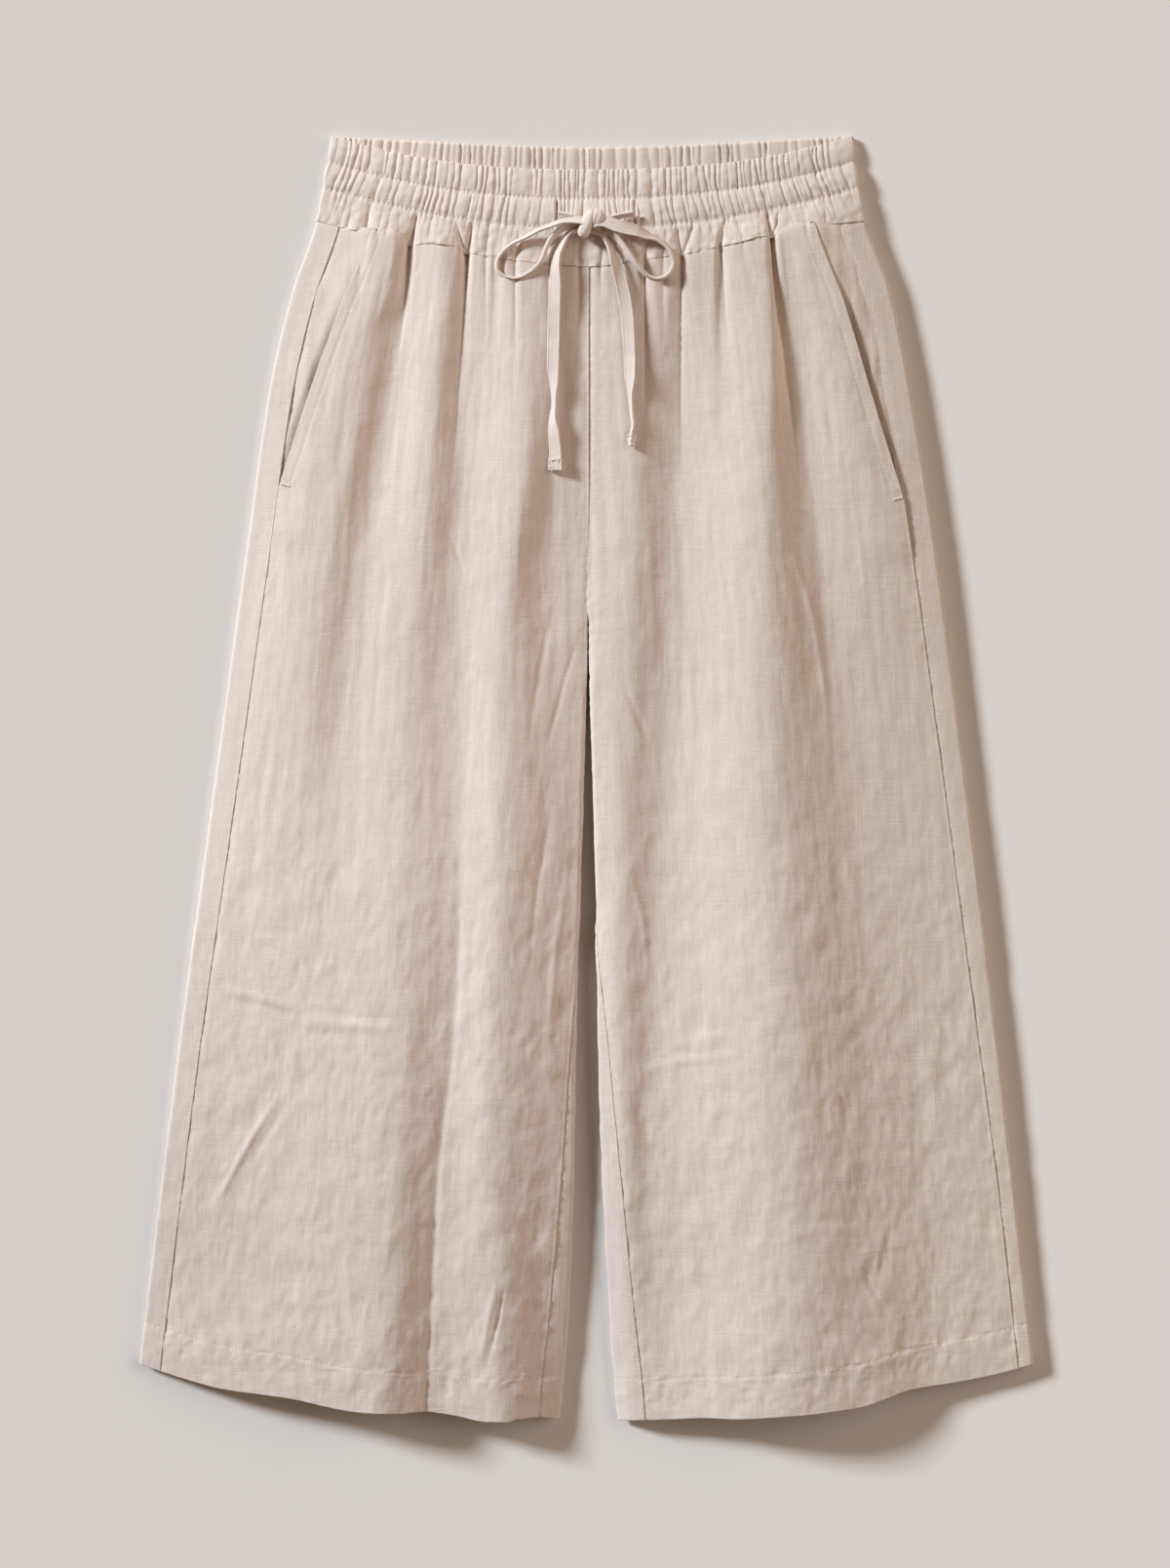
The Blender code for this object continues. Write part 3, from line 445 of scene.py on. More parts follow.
# The camera and the light.
VIEW_HEIGHT = 1005.0
VIEW_CENTRE = (-0.6, -4.1)
CAMERA_DISTANCE = 4000.0
SENSOR = 36.0
LAMPS = table("name strength colour elevation travel size", [
    ("key", 4.1, (0.893, 1.0, 1.078), 24.5, (0.876, -0.482), 11.0),
    ("fill", 1.26, (1.15, 1.0, 0.88), 28.0, (-0.97, -0.25), 55.0),
])
WORLD_STRENGTH = 0.085
WORLD_COLOUR = (1.6, 1.0, 0.55)
FLOOR_HALF, FLOOR_Z = 6000.0, -0.4
FLOOR_COLOUR = (0.797, 0.761, 0.736)
LINEN_COLOUR = (0.738, 0.626, 0.568)
# Painted shade in the cloth's colour: how much darker it is drawn for each metre towards +x, how much darker
# at the hem, and how much less blue for each metre past x = 0, for the warmer shade of the leg on that side.
PAINTED_SHADE_ACROSS = 0.5
PAINTED_HEM_SHADE = 0.11
PAINTED_SHADE_WARMTH = 0.24
TAPE_COLOUR = (0.762, 0.648, 0.586)
THREAD_COLOUR = (0.9, 0.8, 0.73)


# ---------------------------------------------------------------- curves and tables


def hermite(t, step, values, tangents):
    """The cubic between two values with a tangent at each, read at t from 0 to 1."""
    start = (1 + 2 * t) * (1 - t) ** 2 * values[0] + t * (1 - t) ** 2 * step * tangents[0]
    end = t**2 * (3 - 2 * t) * values[1] - t**2 * (1 - t) * step * tangents[1]
    return start + end


def smooth(xs, ys, at):
    """The smooth curve without overshoot through the points (xs, ys), read at the places in `at`."""
    xs, ys, at = (np.asarray(values, float) for values in (xs, ys, at))
    step = np.diff(xs)
    slope = np.diff(ys) / step
    tangent = np.zeros_like(ys)
    tangent[0], tangent[-1] = slope[0], slope[-1]
    before, after = slope[:-1], slope[1:]
    turning = before * after <= 0
    tangent[1:-1] = np.where(turning, 0.0, 2 * before * after / np.where(turning, 1.0, before + after))
    k = np.clip(np.searchsorted(xs, at) - 1, 0, len(step) - 1)
    t = np.clip((at - xs[k]) / step[k], 0.0, 1.0)
    return hermite(t, step[k], (ys[k], ys[k + 1]), (tangent[k], tangent[k + 1]))


def read(rows, column, drop):
    """One column of a table, at any drop."""
    return smooth([row.drop for row in rows], [getattr(row, column) for row in rows], drop)


def ease(t):
    """0 below 0, 1 above 1, and a smooth step between."""
    t = np.clip(t, 0.0, 1.0)
    return t * t * (3 - 2 * t)


def bell(t):
    return np.exp(-(t**2))


def mix(low, high, share):
    """From `low` at a share of 0 to `high` at a share of 1."""
    return low + (high - low) * share


def nearest(values, wanted):
    """The number of the value that lies closest to the one wanted."""
    return int(np.argmin(np.abs(values - wanted)))


def catmull_rom(along, rows, at):
    """The smooth curve through rows of values at the distances `along`, read at `at`."""
    tangent = np.gradient(rows, along, axis=0)
    k = np.clip(np.searchsorted(along, at, side="right") - 1, 0, len(along) - 2)
    step = (along[k + 1] - along[k])[:, None]
    t = ((at - along[k]) / (along[k + 1] - along[k]))[:, None]
    return hermite(t, step, (rows[k], rows[k + 1]), (tangent[k], tangent[k + 1]))


def read_line(at, along, rows):
    """Rows of values on a line of straight steps at the distances `along`, read at `at`."""
    return np.stack([np.interp(at, along, column) for column in rows.T], axis=-1)


def distances(points):
    """Distances along a line of points, from its start."""
    return np.concatenate([[0], np.cumsum(np.linalg.norm(np.diff(points, axis=0), axis=1))])


def unit(vectors):
    return vectors / np.maximum(np.linalg.norm(vectors, axis=-1, keepdims=True), 1e-9)


# ---------------------------------------------------------------- wrinkles


def between_corners(field, x, drop):
    """Values of a grid at places between its squares' corners."""
    rows, columns = field.shape
    x, drop = np.clip(x, 0, columns - 1.001), np.clip(drop, 0, rows - 1.001)
    i, j = np.floor(drop).astype(int), np.floor(x).astype(int)
    s, t = drop - i, x - j
    upper = field[i, j] * (1 - t) + field[i, j + 1] * t
    lower = field[i + 1, j] * (1 - t) + field[i + 1, j + 1] * t
    return upper * (1 - s) + lower * s


class Wrinkles:
    """A random height map over the garment, on millimetre squares, with one wavelength each way."""

    def __init__(self, seed, across, down, sharp=False):
        rows, columns = WRINKLE_MAP
        noise = np.random.default_rng(seed).standard_normal(WRINKLE_MAP)
        frequency = np.hypot(np.fft.fftfreq(columns)[None, :] * across, np.fft.fftfreq(rows)[:, None] * down)
        band = frequency**2 * np.exp(-(frequency**2))
        field = np.fft.ifft2(np.fft.fft2(noise) * band).real
        field /= field.std()
        if sharp:
            field = 0.8 - np.abs(field)
        self.field = field

    def at(self, x, drop):
        """The heights at places: the map repeats past its ends."""
        rows, columns = WRINKLE_MAP
        return between_corners(self.field, (x + columns / 2) % (columns - 2), (drop + 40) % (rows - 2))


STREAKS = Wrinkles(11, 14, 110)
FINE_STREAKS = Wrinkles(12, 7, 46)
CRUMPLE = Wrinkles(13, 26, 34)
SHARP_CRUMPLE = Wrinkles(14, 20, 26, sharp=True)
RUMPLE = Wrinkles(18, 10, 13, sharp=True)
LEVEL_RUMPLE = Wrinkles(19, 30, 7, sharp=True)
PUCKERS = Wrinkles(15, 9, 9)
BACK_CRUMPLE = Wrinkles(16, 26, 44)
BACK_SHARP = Wrinkles(17, 24, 36, sharp=True)


def crease_height(x, drop):
    """The listed creases: soft ridges along lines of straight stretches, fading at both ends."""
    height = np.zeros_like(x)
    for crease in CREASES:
        line = np.array(crease.line, float)
        reach = 4 * crease.width
        low, high = line.min(0) - reach, line.max(0) + reach
        near = (x > low[0]) & (x < high[0]) & (drop > low[1]) & (drop < high[1])
        if not near.any():
            continue
        px, pd = x[near], drop[near]
        along = distances(line)
        best = np.full(px.shape, 1e9)
        place = np.zeros(px.shape)
        for k in range(len(line) - 1):
            step = line[k + 1] - line[k]
            t = np.clip(((px - line[k, 0]) * step[0] + (pd - line[k, 1]) * step[1]) / (step @ step), 0, 1)
            gap = np.hypot(px - line[k, 0] - t * step[0], pd - line[k, 1] - t * step[1])
            closer = gap < best
            best = np.where(closer, gap, best)
            place = np.where(closer, (along[k] + t * np.linalg.norm(step)) / along[-1], place)
        fade = np.sin(math.pi * np.clip(place, 0.02, 0.98)) ** 0.7
        height[near] += crease.height * fade * bell(best / crease.width)
    return height


def front_wrinkles(x, drop, share):
    """The small wrinkles of the front: long soft streaks above, crumpled below."""
    fanned = CENTRE_X + np.sign(x - CENTRE_X) * share * FAN_WIDTH
    low = ease((drop - CRUMPLED_FROM) / CRUMPLED_OVER)
    height = 0.09 * (1 - 0.5 * low) * STREAKS.at(fanned, drop)
    height += 0.03 * (1 - 0.3 * low) * FINE_STREAKS.at(fanned, drop)
    height += (0.08 + 0.12 * low) * CRUMPLE.at(x, drop)
    height += (0.05 + 0.11 * low) * SHARP_CRUMPLE.at(x, drop)
    height += (0.05 + 0.08 * low) * RUMPLE.at(x, drop)
    height += 0.12 * ease((drop - LEVEL_FROM) / LEVEL_OVER) * LEVEL_RUMPLE.at(x, drop)
    return height


# ---------------------------------------------------------------- the legs' form


def outer_edge(side, drop):
    """From the centre line out to the leg's outer fold."""
    return read(OUTLINE, side, drop) - SIGN[side] * CENTRE_X


def x_of(side, out):
    """The x of places that are `out` from the centre line on one side."""
    return CENTRE_X + SIGN[side] * out


def crotch_share(drop):
    """0 above the slit between the legs, 1 below the crotch, where each leg is a tube of its own."""
    return np.clip((drop - SLIT_START) / (CROTCH - SLIT_START), 0.0, 1.0) ** 2


def fold_depth(folds, x, drop):
    """How far the large folds sink a face."""
    depth = np.zeros_like(x)
    for drops, *columns in folds:
        place, size, steep, gentle = (smooth(drops, column, drop) for column in columns)
        size = size * ease((drop - drops[0] + FOLD_ONSET) / FOLD_ONSET)
        offset = x - place
        depth += size * bell(offset / np.where(offset < 0, steep, gentle))
    return depth


def stray(table, x):
    """How far a line across the garment strays at x."""
    return smooth([place for place, _ in table], [shift for _, shift in table], x)


class UpperFace:
    """Heights of a leg's upper face on a grid of millimetres, through its sections' crests and troughs."""

    LAST_DROP, HALF_WIDTH = 840, 300

    def __init__(self, side, sections):
        drops = np.arange(self.LAST_DROP)
        stations = [section.drop for section in sections]
        lines = np.array([section[1:] for section in sections], float)
        inner = x_of(side, read(INNER_EDGES, side, drops)), read(HEIGHTS, f"inner_{side}", drops)
        outer = SIGN[side] * read(OUTLINE, side, drops), read(HEIGHTS, f"fold_{side}", drops)
        first, last = (outer, inner) if side == "right" else (inner, outer)
        folds = [[smooth(stations, line[:, k], drops) for line in lines.swapaxes(0, 1)] for k in (0, 1)]
        places, heights = (np.stack([first[k], *folds[k], last[k]], axis=1) for k in (0, 1))
        across = np.arange(-self.HALF_WIDTH, self.HALF_WIDTH + 1)
        self.field = np.stack([smooth(x, z, across) for x, z in zip(places, heights)])

    def at(self, x, drop):
        return between_corners(self.field, x + self.HALF_WIDTH, drop)


UPPER_FACES = {"right": UpperFace("right", RIGHT_SECTIONS), "left": UpperFace("left", LEFT_SECTIONS)}


def upper_height(side, x, drop):
    """Height of the upper face away from the folded edges."""
    return UPPER_FACES[side].at(x, drop) - fold_depth(FOLDS, x, drop)


def round_off(distance, radius):
    """A quarter of an ellipse: 0 at an edge, 1 from `radius` inwards."""
    return np.sqrt(1 - (1 - np.clip(distance / radius, 0.0, 1.0)) ** 2)


Rings = namedtuple("Rings", "points along out upper")


def leg_rings(side, v):
    """The leg's skin at rows v, 0 at the waist seam and 1 at the hem.

    Each ring starts at the inner edge and runs out over the upper face, round the outer fold and back along
    the floor.
    """
    v = v[:, None]
    drop_outer = mix(BAND_SEAM_SIDE, HEM_SIDE, v)
    drop_inner = mix(BAND_SEAM_FRONT, HEM_INNER, v)
    crotch_row = (CROTCH - BAND_SEAM_FRONT) / LEG_LENGTH
    back_rise = (BAND_SEAM_FRONT - BAND_SEAM_BACK) * (1 - ease(v / crotch_row))
    inner = read(INNER_EDGES, side, drop_inner)
    outer = outer_edge(side, drop_outer)
    bend = mix(WAIST_BEND, HEM_BEND, v)

    fold_height = read(HEIGHTS, f"fold_{side}", drop_outer)
    outer_round = OUTER_ROUND * fold_height
    turn = np.linspace(0, math.pi / 2, RING_STEPS // 16)
    edge_in = inner + INNER_ROUND * (1 - np.cos(turn))
    edge_out = outer - outer_round * (1 - np.cos(turn[::-1]))
    middle = np.linspace(edge_in[:, -1], edge_out[:, 0], RING_STEPS, axis=1)[:, 1:-1]
    out = np.concatenate([edge_in, middle, edge_out], axis=1)

    level = 1 - ((out - inner) / (outer - inner)) ** bend
    x = x_of(side, out)
    drop_top = mix(drop_outer, drop_inner, level)
    drop_top += stray(SEAM_STRAY, x) * (1 - ease(v / SEAM_STRAY_REACH))
    drop_top += stray(HEM_STRAY, x) * ease((v - 1 + HEM_STRAY_REACH) / HEM_STRAY_REACH)
    drop_low = mix(drop_outer, drop_inner - back_rise, level)
    drop_low -= BACK_HEM_SHORTER * ease((v - 1 + BACK_HEM_REACH) / BACK_HEM_REACH)

    closed = crotch_share(drop_inner)
    near_in, near_out = round_off(out - inner, INNER_ROUND), round_off(outer - out, outer_round)
    height = upper_height(side, x, drop_top)
    inner_wall = INNER_LIP * read(HEIGHTS, f"inner_{side}", drop_inner)
    top = mix(mix(height, inner_wall, closed), height, near_in)
    top = mix(fold_height / 2, top, near_out)
    under_in = np.clip(1 - (out - inner) / UNDERCUT, 0.0, 1.0) ** 1.4
    low = inner_wall * closed * under_in + fold_height / 2 * (1 - near_out)

    inner_low = mix(FLAT_INNER_EDGE, inner, closed)
    out_low = outer - (outer - out) * (outer - inner_low) / (outer - inner)
    x_low = x_of(side, out_low)
    low = low + fold_depth(BACK_FOLDS, x_low, drop_low) * near_in * (1 - under_in) * near_out
    upper = np.stack([x, drop_top, top], axis=2)
    lower = np.stack([x_low, drop_low, low], axis=2)[:, ::-1][:, 1:]
    points = np.concatenate([upper, lower], axis=1)
    steps = np.linalg.norm(np.diff(points[:, :, [0, 2]], axis=1), axis=2)
    along = np.concatenate([np.zeros((len(v), 1)), np.cumsum(steps, axis=1)], axis=1)
    return Rings(points, along, out, out.shape[1])


def on_rings(rings, at):
    """Points of the rings at distances along them, rows by columns; a distance may run past a ring's end."""
    found = []
    for wanted, along, points in zip(at, rings.along, rings.points):
        twice = np.concatenate([along, along[-1] + along[1:]])
        found.append(read_line(wanted, twice, np.concatenate([points, points[1:]])))
    return np.stack(found)


def share_across(rings, x):
    """How far across the upper face each place lies: 0 at the inner edge and 1 at the outer fold."""
    outs = np.abs(x - CENTRE_X)
    return (outs - rings.out[:, :1]) / (rings.out[:, -1:] - rings.out[:, :1])


def distance_to(rings, out):
    """Distances along the upper faces to the places that are `out` from the centre line."""
    return np.array([np.interp(*row) for row in zip(out, rings.out, rings.along[:, : rings.upper])])


def seams(side, v):
    """A leg's rings at rows v, the distances along them to both seams, and the points of the side seam."""
    rings = leg_rings(side, v)
    inseam = read(SEAM_INSETS, f"inseam_{side}", rings.points[:, 0, 1])
    inset = read(SEAM_INSETS, f"side_{side}", rings.points[:, rings.upper - 1, 1])
    inseam = distance_to(rings, rings.out[:, 0] + inseam)
    side_seam = distance_to(rings, rings.out[:, -1] - inset)
    return rings, inseam, side_seam, on_rings(rings, side_seam[:, None])[:, 0]


def mouth_offset(side, drop):
    """How far the pocket's mouth lies in from the side seam: 0 below the pocket."""
    pocket = POCKETS[side]
    share = (drop - BAND_SEAM_SIDE) / (pocket.end_drop - BAND_SEAM_SIDE)
    return pocket.offset * (1 - np.clip(share, 0.0, 1.0) ** MOUTH_BEND)


def pocket_lift(side, points, seam_x):
    """How far the front panel is raised over the pocket's facing."""
    away = np.abs(points[..., 0] - seam_x)
    offset = mouth_offset(side, points[..., 1])
    sideways = 1 - ease((away - offset - POCKET_UNDERLAP - LIFT_INSET) / LIFT_FADE_OUT)
    down = 1 - ease((points[..., 1] - POCKETS[side].end_drop - POCKET_TAIL - LIFT_MARGIN) / LIFT_FADE_DOWN)
    return POCKET_LIFT * sideways * down


# ---------------------------------------------------------------- sheets of cloth


def normals_of(points, up_column):
    """Unit normals of a grid of points, turned outwards: upwards in the named column."""
    normal = unit(np.cross(np.gradient(points, axis=1), np.gradient(points, axis=0)))
    return normal * np.sign(normal[len(points) // 2, up_column, 2])


def add_columns(points, normal, profile, last):
    """Runs a grid on past its first or last column, by (past, below) distances."""
    if not last:
        return add_columns(points[:, ::-1], normal[:, ::-1], profile, True)[:, ::-1]
    away = unit(points[:, -1] - points[:, -2])
    added = [points[:, -1] + away * past - normal[:, -1] * below for past, below in profile]
    return np.concatenate([points, np.stack(added, axis=1)], axis=1) if added else points


def add_rows(points, normal, profile):
    """Runs a grid on past its first row, by (past, below) distances."""
    return add_columns(points.swapaxes(0, 1), normal.swapaxes(0, 1), profile, False).swapaxes(0, 1)


def with_relief(points, relief, up_column):
    """A grid of points moved out by its relief, but not into the floor, and its new normals."""
    points = points + normals_of(points, up_column) * relief[..., None]
    points[..., 2] = np.maximum(points[..., 2], 0.0)
    return points, normals_of(points, up_column)


def to_world(points):
    """Points (x, drop, z) in millimetres as (x, y, z) in metres."""
    points = np.asarray(points, float)
    y = MIDDLE_Y + LENGTH / 2 - points[..., 1]
    return np.stack([points[..., 0], y, points[..., 2]], axis=-1) * MM


def make_mesh(name, points, faces, material):
    """A smooth-shaded object of points in millimetres and faces of point numbers."""
    mesh = bpy.data.meshes.new(name)
    mesh.from_pydata(to_world(points).tolist(), [], faces)
    mesh.shade_smooth()
    mesh.materials.append(material)
    thing = bpy.data.objects.new(name, mesh)
    bpy.context.scene.collection.objects.link(thing)
    return thing


def grid_faces(rows, columns, closed=False):
    """The four-sided faces of a grid of points; a closed one joins its last column to its first."""
    numbers = np.arange(rows * columns).reshape(rows, columns)
    if closed:
        numbers = np.concatenate([numbers, numbers[:, :1]], axis=1)
    corners = [numbers[:-1, :-1], numbers[:-1, 1:], numbers[1:, 1:], numbers[1:, :-1]]
    return np.stack([corner.ravel() for corner in corners], axis=1)


def sheet_mesh(name, points, material, flip=False, closed=False):
    points[..., 2] = np.maximum(points[..., 2], 0.0)
    faces = grid_faces(*points.shape[:2], closed)
    return make_mesh(name, points.reshape(-1, 3), (faces[:, ::-1] if flip else faces).tolist(), material)


def panel_mesh(name, side, points, up_column, edges, material):
    """The mesh of a panel, run on past its first and its last seam and up under the waistband."""
    normal = normals_of(points, up_column)
    cloth = add_columns(points, normal, edges[1], last=True)
    cloth = add_columns(cloth, normal, edges[0], last=False)
    cloth = add_rows(cloth, normals_of(cloth, up_column + len(edges[0])), WAIST_UNDER_EDGE)
    return sheet_mesh(f"linen_{name}_{side}", cloth, material, flip=side == "left")


def tube_faces(rows, columns, base=0):
    """The faces of a closed grid of points with a cap at each end, its points numbered from `base`."""
    ends = [range(columns)[::-1], range((rows - 1) * columns, rows * columns)]
    faces = grid_faces(rows, columns, closed=True).tolist() + ends
    return [[base + number for number in face] for face in faces]


def leg_rows(step, low_step):
    """Shares of the leg's length, close together at the waist seam, the hem's stitches and its edge."""
    stitch = LEG_LENGTH - HEM_HEIGHT
    stretches = [
        [0, 0.4, 0.9, 1.5, 2.3, 3.4, 4.8],
        np.arange(6.3, ROWS_WIDEN, step),
        np.arange(ROWS_WIDEN, stitch - 3, low_step),
        np.arange(stitch - 3, stitch + 3, 0.7),
        np.arange(stitch + 3.5, LEG_LENGTH - 3, 1.5),
        LEG_LENGTH - np.array([2.4, 1.5, 0.8, 0.3, 0.0]),
    ]
    return np.concatenate(stretches) / LEG_LENGTH


def seam_columns(start, end, count):
    """Distances from start to end, close together at both seams, rows by columns."""
    fine = np.array([0.0, 0.4, 0.9, 1.6, 2.4, 3.3])
    middle = np.linspace(start + fine[-1] + 1, end - fine[-1] - 1, count, axis=1)
    return np.concatenate([start[:, None] + fine, middle, end[:, None] - fine[::-1]], axis=1)


def hem_relief(from_hem, x, drop):
    """The hem's turned cloth: a little thicker, drawn in unevenly where it is stitched, and puckered."""
    thick = 0.12 * ease((HEM_HEIGHT + 1.0 - from_hem) / 3.0)
    drawn_in = (0.16 + 0.12 * PUCKERS.at(x * 1.6, drop * 0.3)) * bell((from_hem - HEM_HEIGHT) / 0.8)
    puckers = 0.13 * PUCKERS.at(x * 0.7, drop * 0.35) * bell((from_hem - 0.7 * HEM_HEIGHT) / 20)
    drag_lines = 0.14 * SHARP_CRUMPLE.at(x, drop * 1.5) * bell((from_hem - 1.8 * HEM_HEIGHT) / 16)
    return thick - drawn_in + puckers + drag_lines


def seam_relief(distance, x, drop, over, size=1.0):
    """Beside a seam: a raised edge on top, or a lowered one beneath it, and the puckers of its stitches."""
    if over:
        edge = EDGE_RISE * np.exp(-distance / EDGE_REACH)
        edge -= GROOVE_DEPTH * bell((distance - SEAM_STITCHES) / GROOVE_WIDTH)
    else:
        edge = -UNDER_DEPTH * (1 - ease(distance / UNDER_REACH))
    return size * edge + PUCKER_SIZE * PUCKERS.at(x, drop * 1.6) * np.exp(-distance / PUCKER_REACH)


def valley(offset, before, past, cleft=0.6, share=0.25):
    """A valley whose flanks run `before` mm towards -x and `past` mm towards +x, down to a narrow cleft."""
    flank = np.clip(1 - np.where(offset < 0, -offset / before, offset / past), 0.0, 1.0) ** 1.5
    return (1 - share) * flank + share * np.exp(-np.abs(offset) / cleft)


def pleat_depth(x, drop, seam_drop, above_seam=25.0):
    """The gathers at the waist seam: above it in the band, and fading down into the front panels."""
    down = np.clip(drop - seam_drop, 0.0, None)
    up = np.clip((seam_drop - drop) / above_seam, 0.0, 1.0)
    wider = 1 + 0.012 * down
    depth = np.zeros(np.broadcast(x, drop).shape)
    for pleat in PLEATS:
        spread = SPREAD * pleat.x * down if abs(pleat.x) > SPREAD_FROM else 0.0
        place = pleat.x + spread + (pleat.above - pleat.x) * up**0.9
        fade = np.clip(1 - down / pleat.reach, 0.0, 1.0) * (1 - 0.8 * up**0.7)
        depth += pleat.depth * fade * valley(x - place, pleat.before * wider, pleat.past * wider, 1.1, 0.4)
    rng = np.random.default_rng(5)
    for place in np.arange(-SMALL_PLEATS_END, SMALL_PLEATS_END, SMALL_PLEATS_PITCH):
        place += rng.uniform(-2.5, 2.5) + rng.uniform(-3, 3) * up
        reach, size = rng.uniform(6, 24), rng.uniform(0.0, SMALL_PLEATS_DEPTH)
        fade = np.clip(1 - down / reach, 0.0, 1.0) ** 1.4
        depth += size * fade * valley(x - place, 2.2 + 0.08 * down, 3.4 + 0.1 * down)
    return depth


Panel = namedtuple("Panel", "points normal at start end rows")


def front_panel(side, material):
    """A leg's front: from the centre seam or the inseam to the pocket's mouth or the side seam."""
    v = leg_rows(*FRONT_ROW_STEPS)
    rings, inseam, side_seam, seam_points = seams(side, v)
    start = inseam + SEAM_GAP / 2
    end = side_seam - mouth_offset(side, seam_points[:, 1]) - SEAM_GAP / 2
    at = seam_columns(start, end, FRONT_PANEL_COLUMNS)
    middle = at.shape[1] // 2
    points = on_rings(rings, at)
    points[..., 2] += pocket_lift(side, points, seam_points[:, :1])

    x, drop = points[..., 0], points[..., 1]
    from_waist, from_hem = drop - drop[:1], (1 - v[:, None]) * LEG_LENGTH
    from_start, from_end = at - start[:, None], end[:, None] - at
    relief = front_wrinkles(x, drop, share_across(rings, x)) + crease_height(x, drop)
    relief *= ease(from_hem / 40 + 0.5) * ease(from_waist / 30 + 0.15)
    relief += hem_relief(from_hem, x, drop)
    relief -= pleat_depth(x, drop, drop[:1])
    relief -= FRONT_DIP * np.exp(-from_waist / FRONT_DIP_REACH)
    centre_seam = 1 + 0.7 * (1 - ease((drop - SLIT_START + 30) / 40))
    relief += seam_relief(from_start, x, drop, side == "right", centre_seam)
    mouth = 0.5 * np.exp(-from_end / 6.0) - 0.3 * bell((from_end - MOUTH_STITCHES) / 0.9)
    on_mouth = (end < side_seam - 1.0)[:, None]
    relief += np.where(on_mouth, mouth, seam_relief(from_end, x, drop, side == "left"))
    points, normal = with_relief(points, relief, middle)
    edges = (OVER_EDGE if side == "right" else UNDER_EDGE, OVER_EDGE)
    thing = panel_mesh("front", side, hem_inside(points, normal), middle, edges, material)
    return thing, Panel(points, normal, at, start, end, v)


def hem_inside(points, normal):
    """Turns the hem: round its edge and back up inside the leg."""
    edge, down = points[-1], normal[-1]
    past = edge + unit(edge - points[-2]) * 0.3
    rows = [past - down * 0.35, past - down * (HEM_THICK - 0.35), edge - down * HEM_THICK]
    rows += [points[-row] - normal[-row] * HEM_THICK for row in (8, 14, 20, 26)]
    return np.concatenate([points, np.stack(rows)], axis=0)


def back_panel(side, material):
    """A leg's back: from the side seam round the outer fold, along the floor and round the inner edge."""
    v = leg_rows(*BACK_ROW_STEPS)
    rings, inseam, side_seam, _ = seams(side, v)
    whole = rings.along[:, -1]
    start, end = side_seam + SEAM_GAP / 2, whole + inseam - SEAM_GAP / 2
    past_fold, near_inner = rings.along[:, rings.upper - 1] + WRAP, whole - WRAP
    *fine, next_in = 0.0, 0.5, 1.1, 1.9, 2.9, 4.2, 5.6
    stretches = [
        start[:, None] + fine,
        np.linspace(start + next_in, past_fold, BACK_STRETCHES[0], axis=1),
        np.linspace(past_fold, near_inner, BACK_STRETCHES[1], axis=1)[:, 1:],
        np.linspace(near_inner, end - next_in, BACK_STRETCHES[2], axis=1)[:, 1:],
        end[:, None] - fine[::-1],
    ]
    at = np.concatenate(stretches, axis=1)
    points = on_rings(rings, at)

    x, drop = points[..., 0], points[..., 1]
    from_waist, from_hem = drop - drop[:1], (1 - v[:, None]) * LEG_LENGTH
    on_floor = ease((at - past_fold[:, None] + 8) / 10) * ease((near_inner[:, None] - at + 6) / 10)
    above = 0.55 * front_wrinkles(x, drop, share_across(rings, x)) + 0.5 * crease_height(x, drop)
    below = -(0.35 + 0.45 * BACK_CRUMPLE.at(x, drop) + 0.35 * BACK_SHARP.at(x, drop)) * on_floor
    relief = above * (1 - on_floor) + np.minimum(below, 0.0)
    relief += hem_relief(from_hem, x, drop) * (1 - 0.6 * on_floor) - 0.2 * on_floor
    relief -= WAIST_DIP * (1 - ease(from_waist / WAIST_DIP_REACH))
    relief += seam_relief(at - start[:, None], x, drop, side == "right")
    relief += seam_relief(end[:, None] - at, x, drop, side == "left")
    points, normal = with_relief(points, relief, 0)
    edges = (OVER_EDGE, INSEAM_UNDER_EDGE) if side == "right" else (UNDER_EDGE, OVER_EDGE)
    thing = panel_mesh("back", side, hem_inside(points, normal), 0, edges, material)
    return thing, Panel(points, normal, at, start, end, v)


def pocket_facing(side, material):
    """The hip piece behind a pocket's mouth, from the side seam to under the front panel."""
    last_row = (POCKETS[side].end_drop + POCKET_TAIL - BAND_SEAM_SIDE) / (HEM_SIDE - BAND_SEAM_SIDE)
    v = leg_rows(*FRONT_ROW_STEPS)
    rings, _, side_seam, seam_points = seams(side, v[v < last_row])
    offset = mouth_offset(side, seam_points[:, 1])
    end = side_seam - SEAM_GAP / 2
    at = np.linspace(side_seam - offset - POCKET_UNDERLAP, end, FACING_COLUMNS, axis=1)
    points = on_rings(rings, at)

    x, drop = points[..., 0], points[..., 1]
    from_waist, past_mouth = drop - drop[:1], at - (end - offset)[:, None]
    relief = 0.12 * STREAKS.at(x * 1.3, drop) + 0.2 * CRUMPLE.at(x * 1.2, drop) - 0.3
    sunk = np.clip(1 - np.maximum(past_mouth, 0.0) / 5.0, 0.0, 1.0) ** 1.4
    relief -= 1.7 * sunk * ease((from_waist - 25) / 60)
    relief += 1.2 * (1 - ease((from_waist - 10) / 70)) * (1 - ease(past_mouth / 16))
    relief += seam_relief(end[:, None] - at, x, drop, False)
    relief -= WAIST_DIP * (1 - ease(from_waist / WAIST_DIP_REACH))
    middle = FACING_COLUMNS // 2
    points, _ = with_relief(points, relief, middle)
    return panel_mesh("pocket", side, points, middle, ((), UNDER_EDGE), material)


# ---------------------------------------------------------------- the waistband


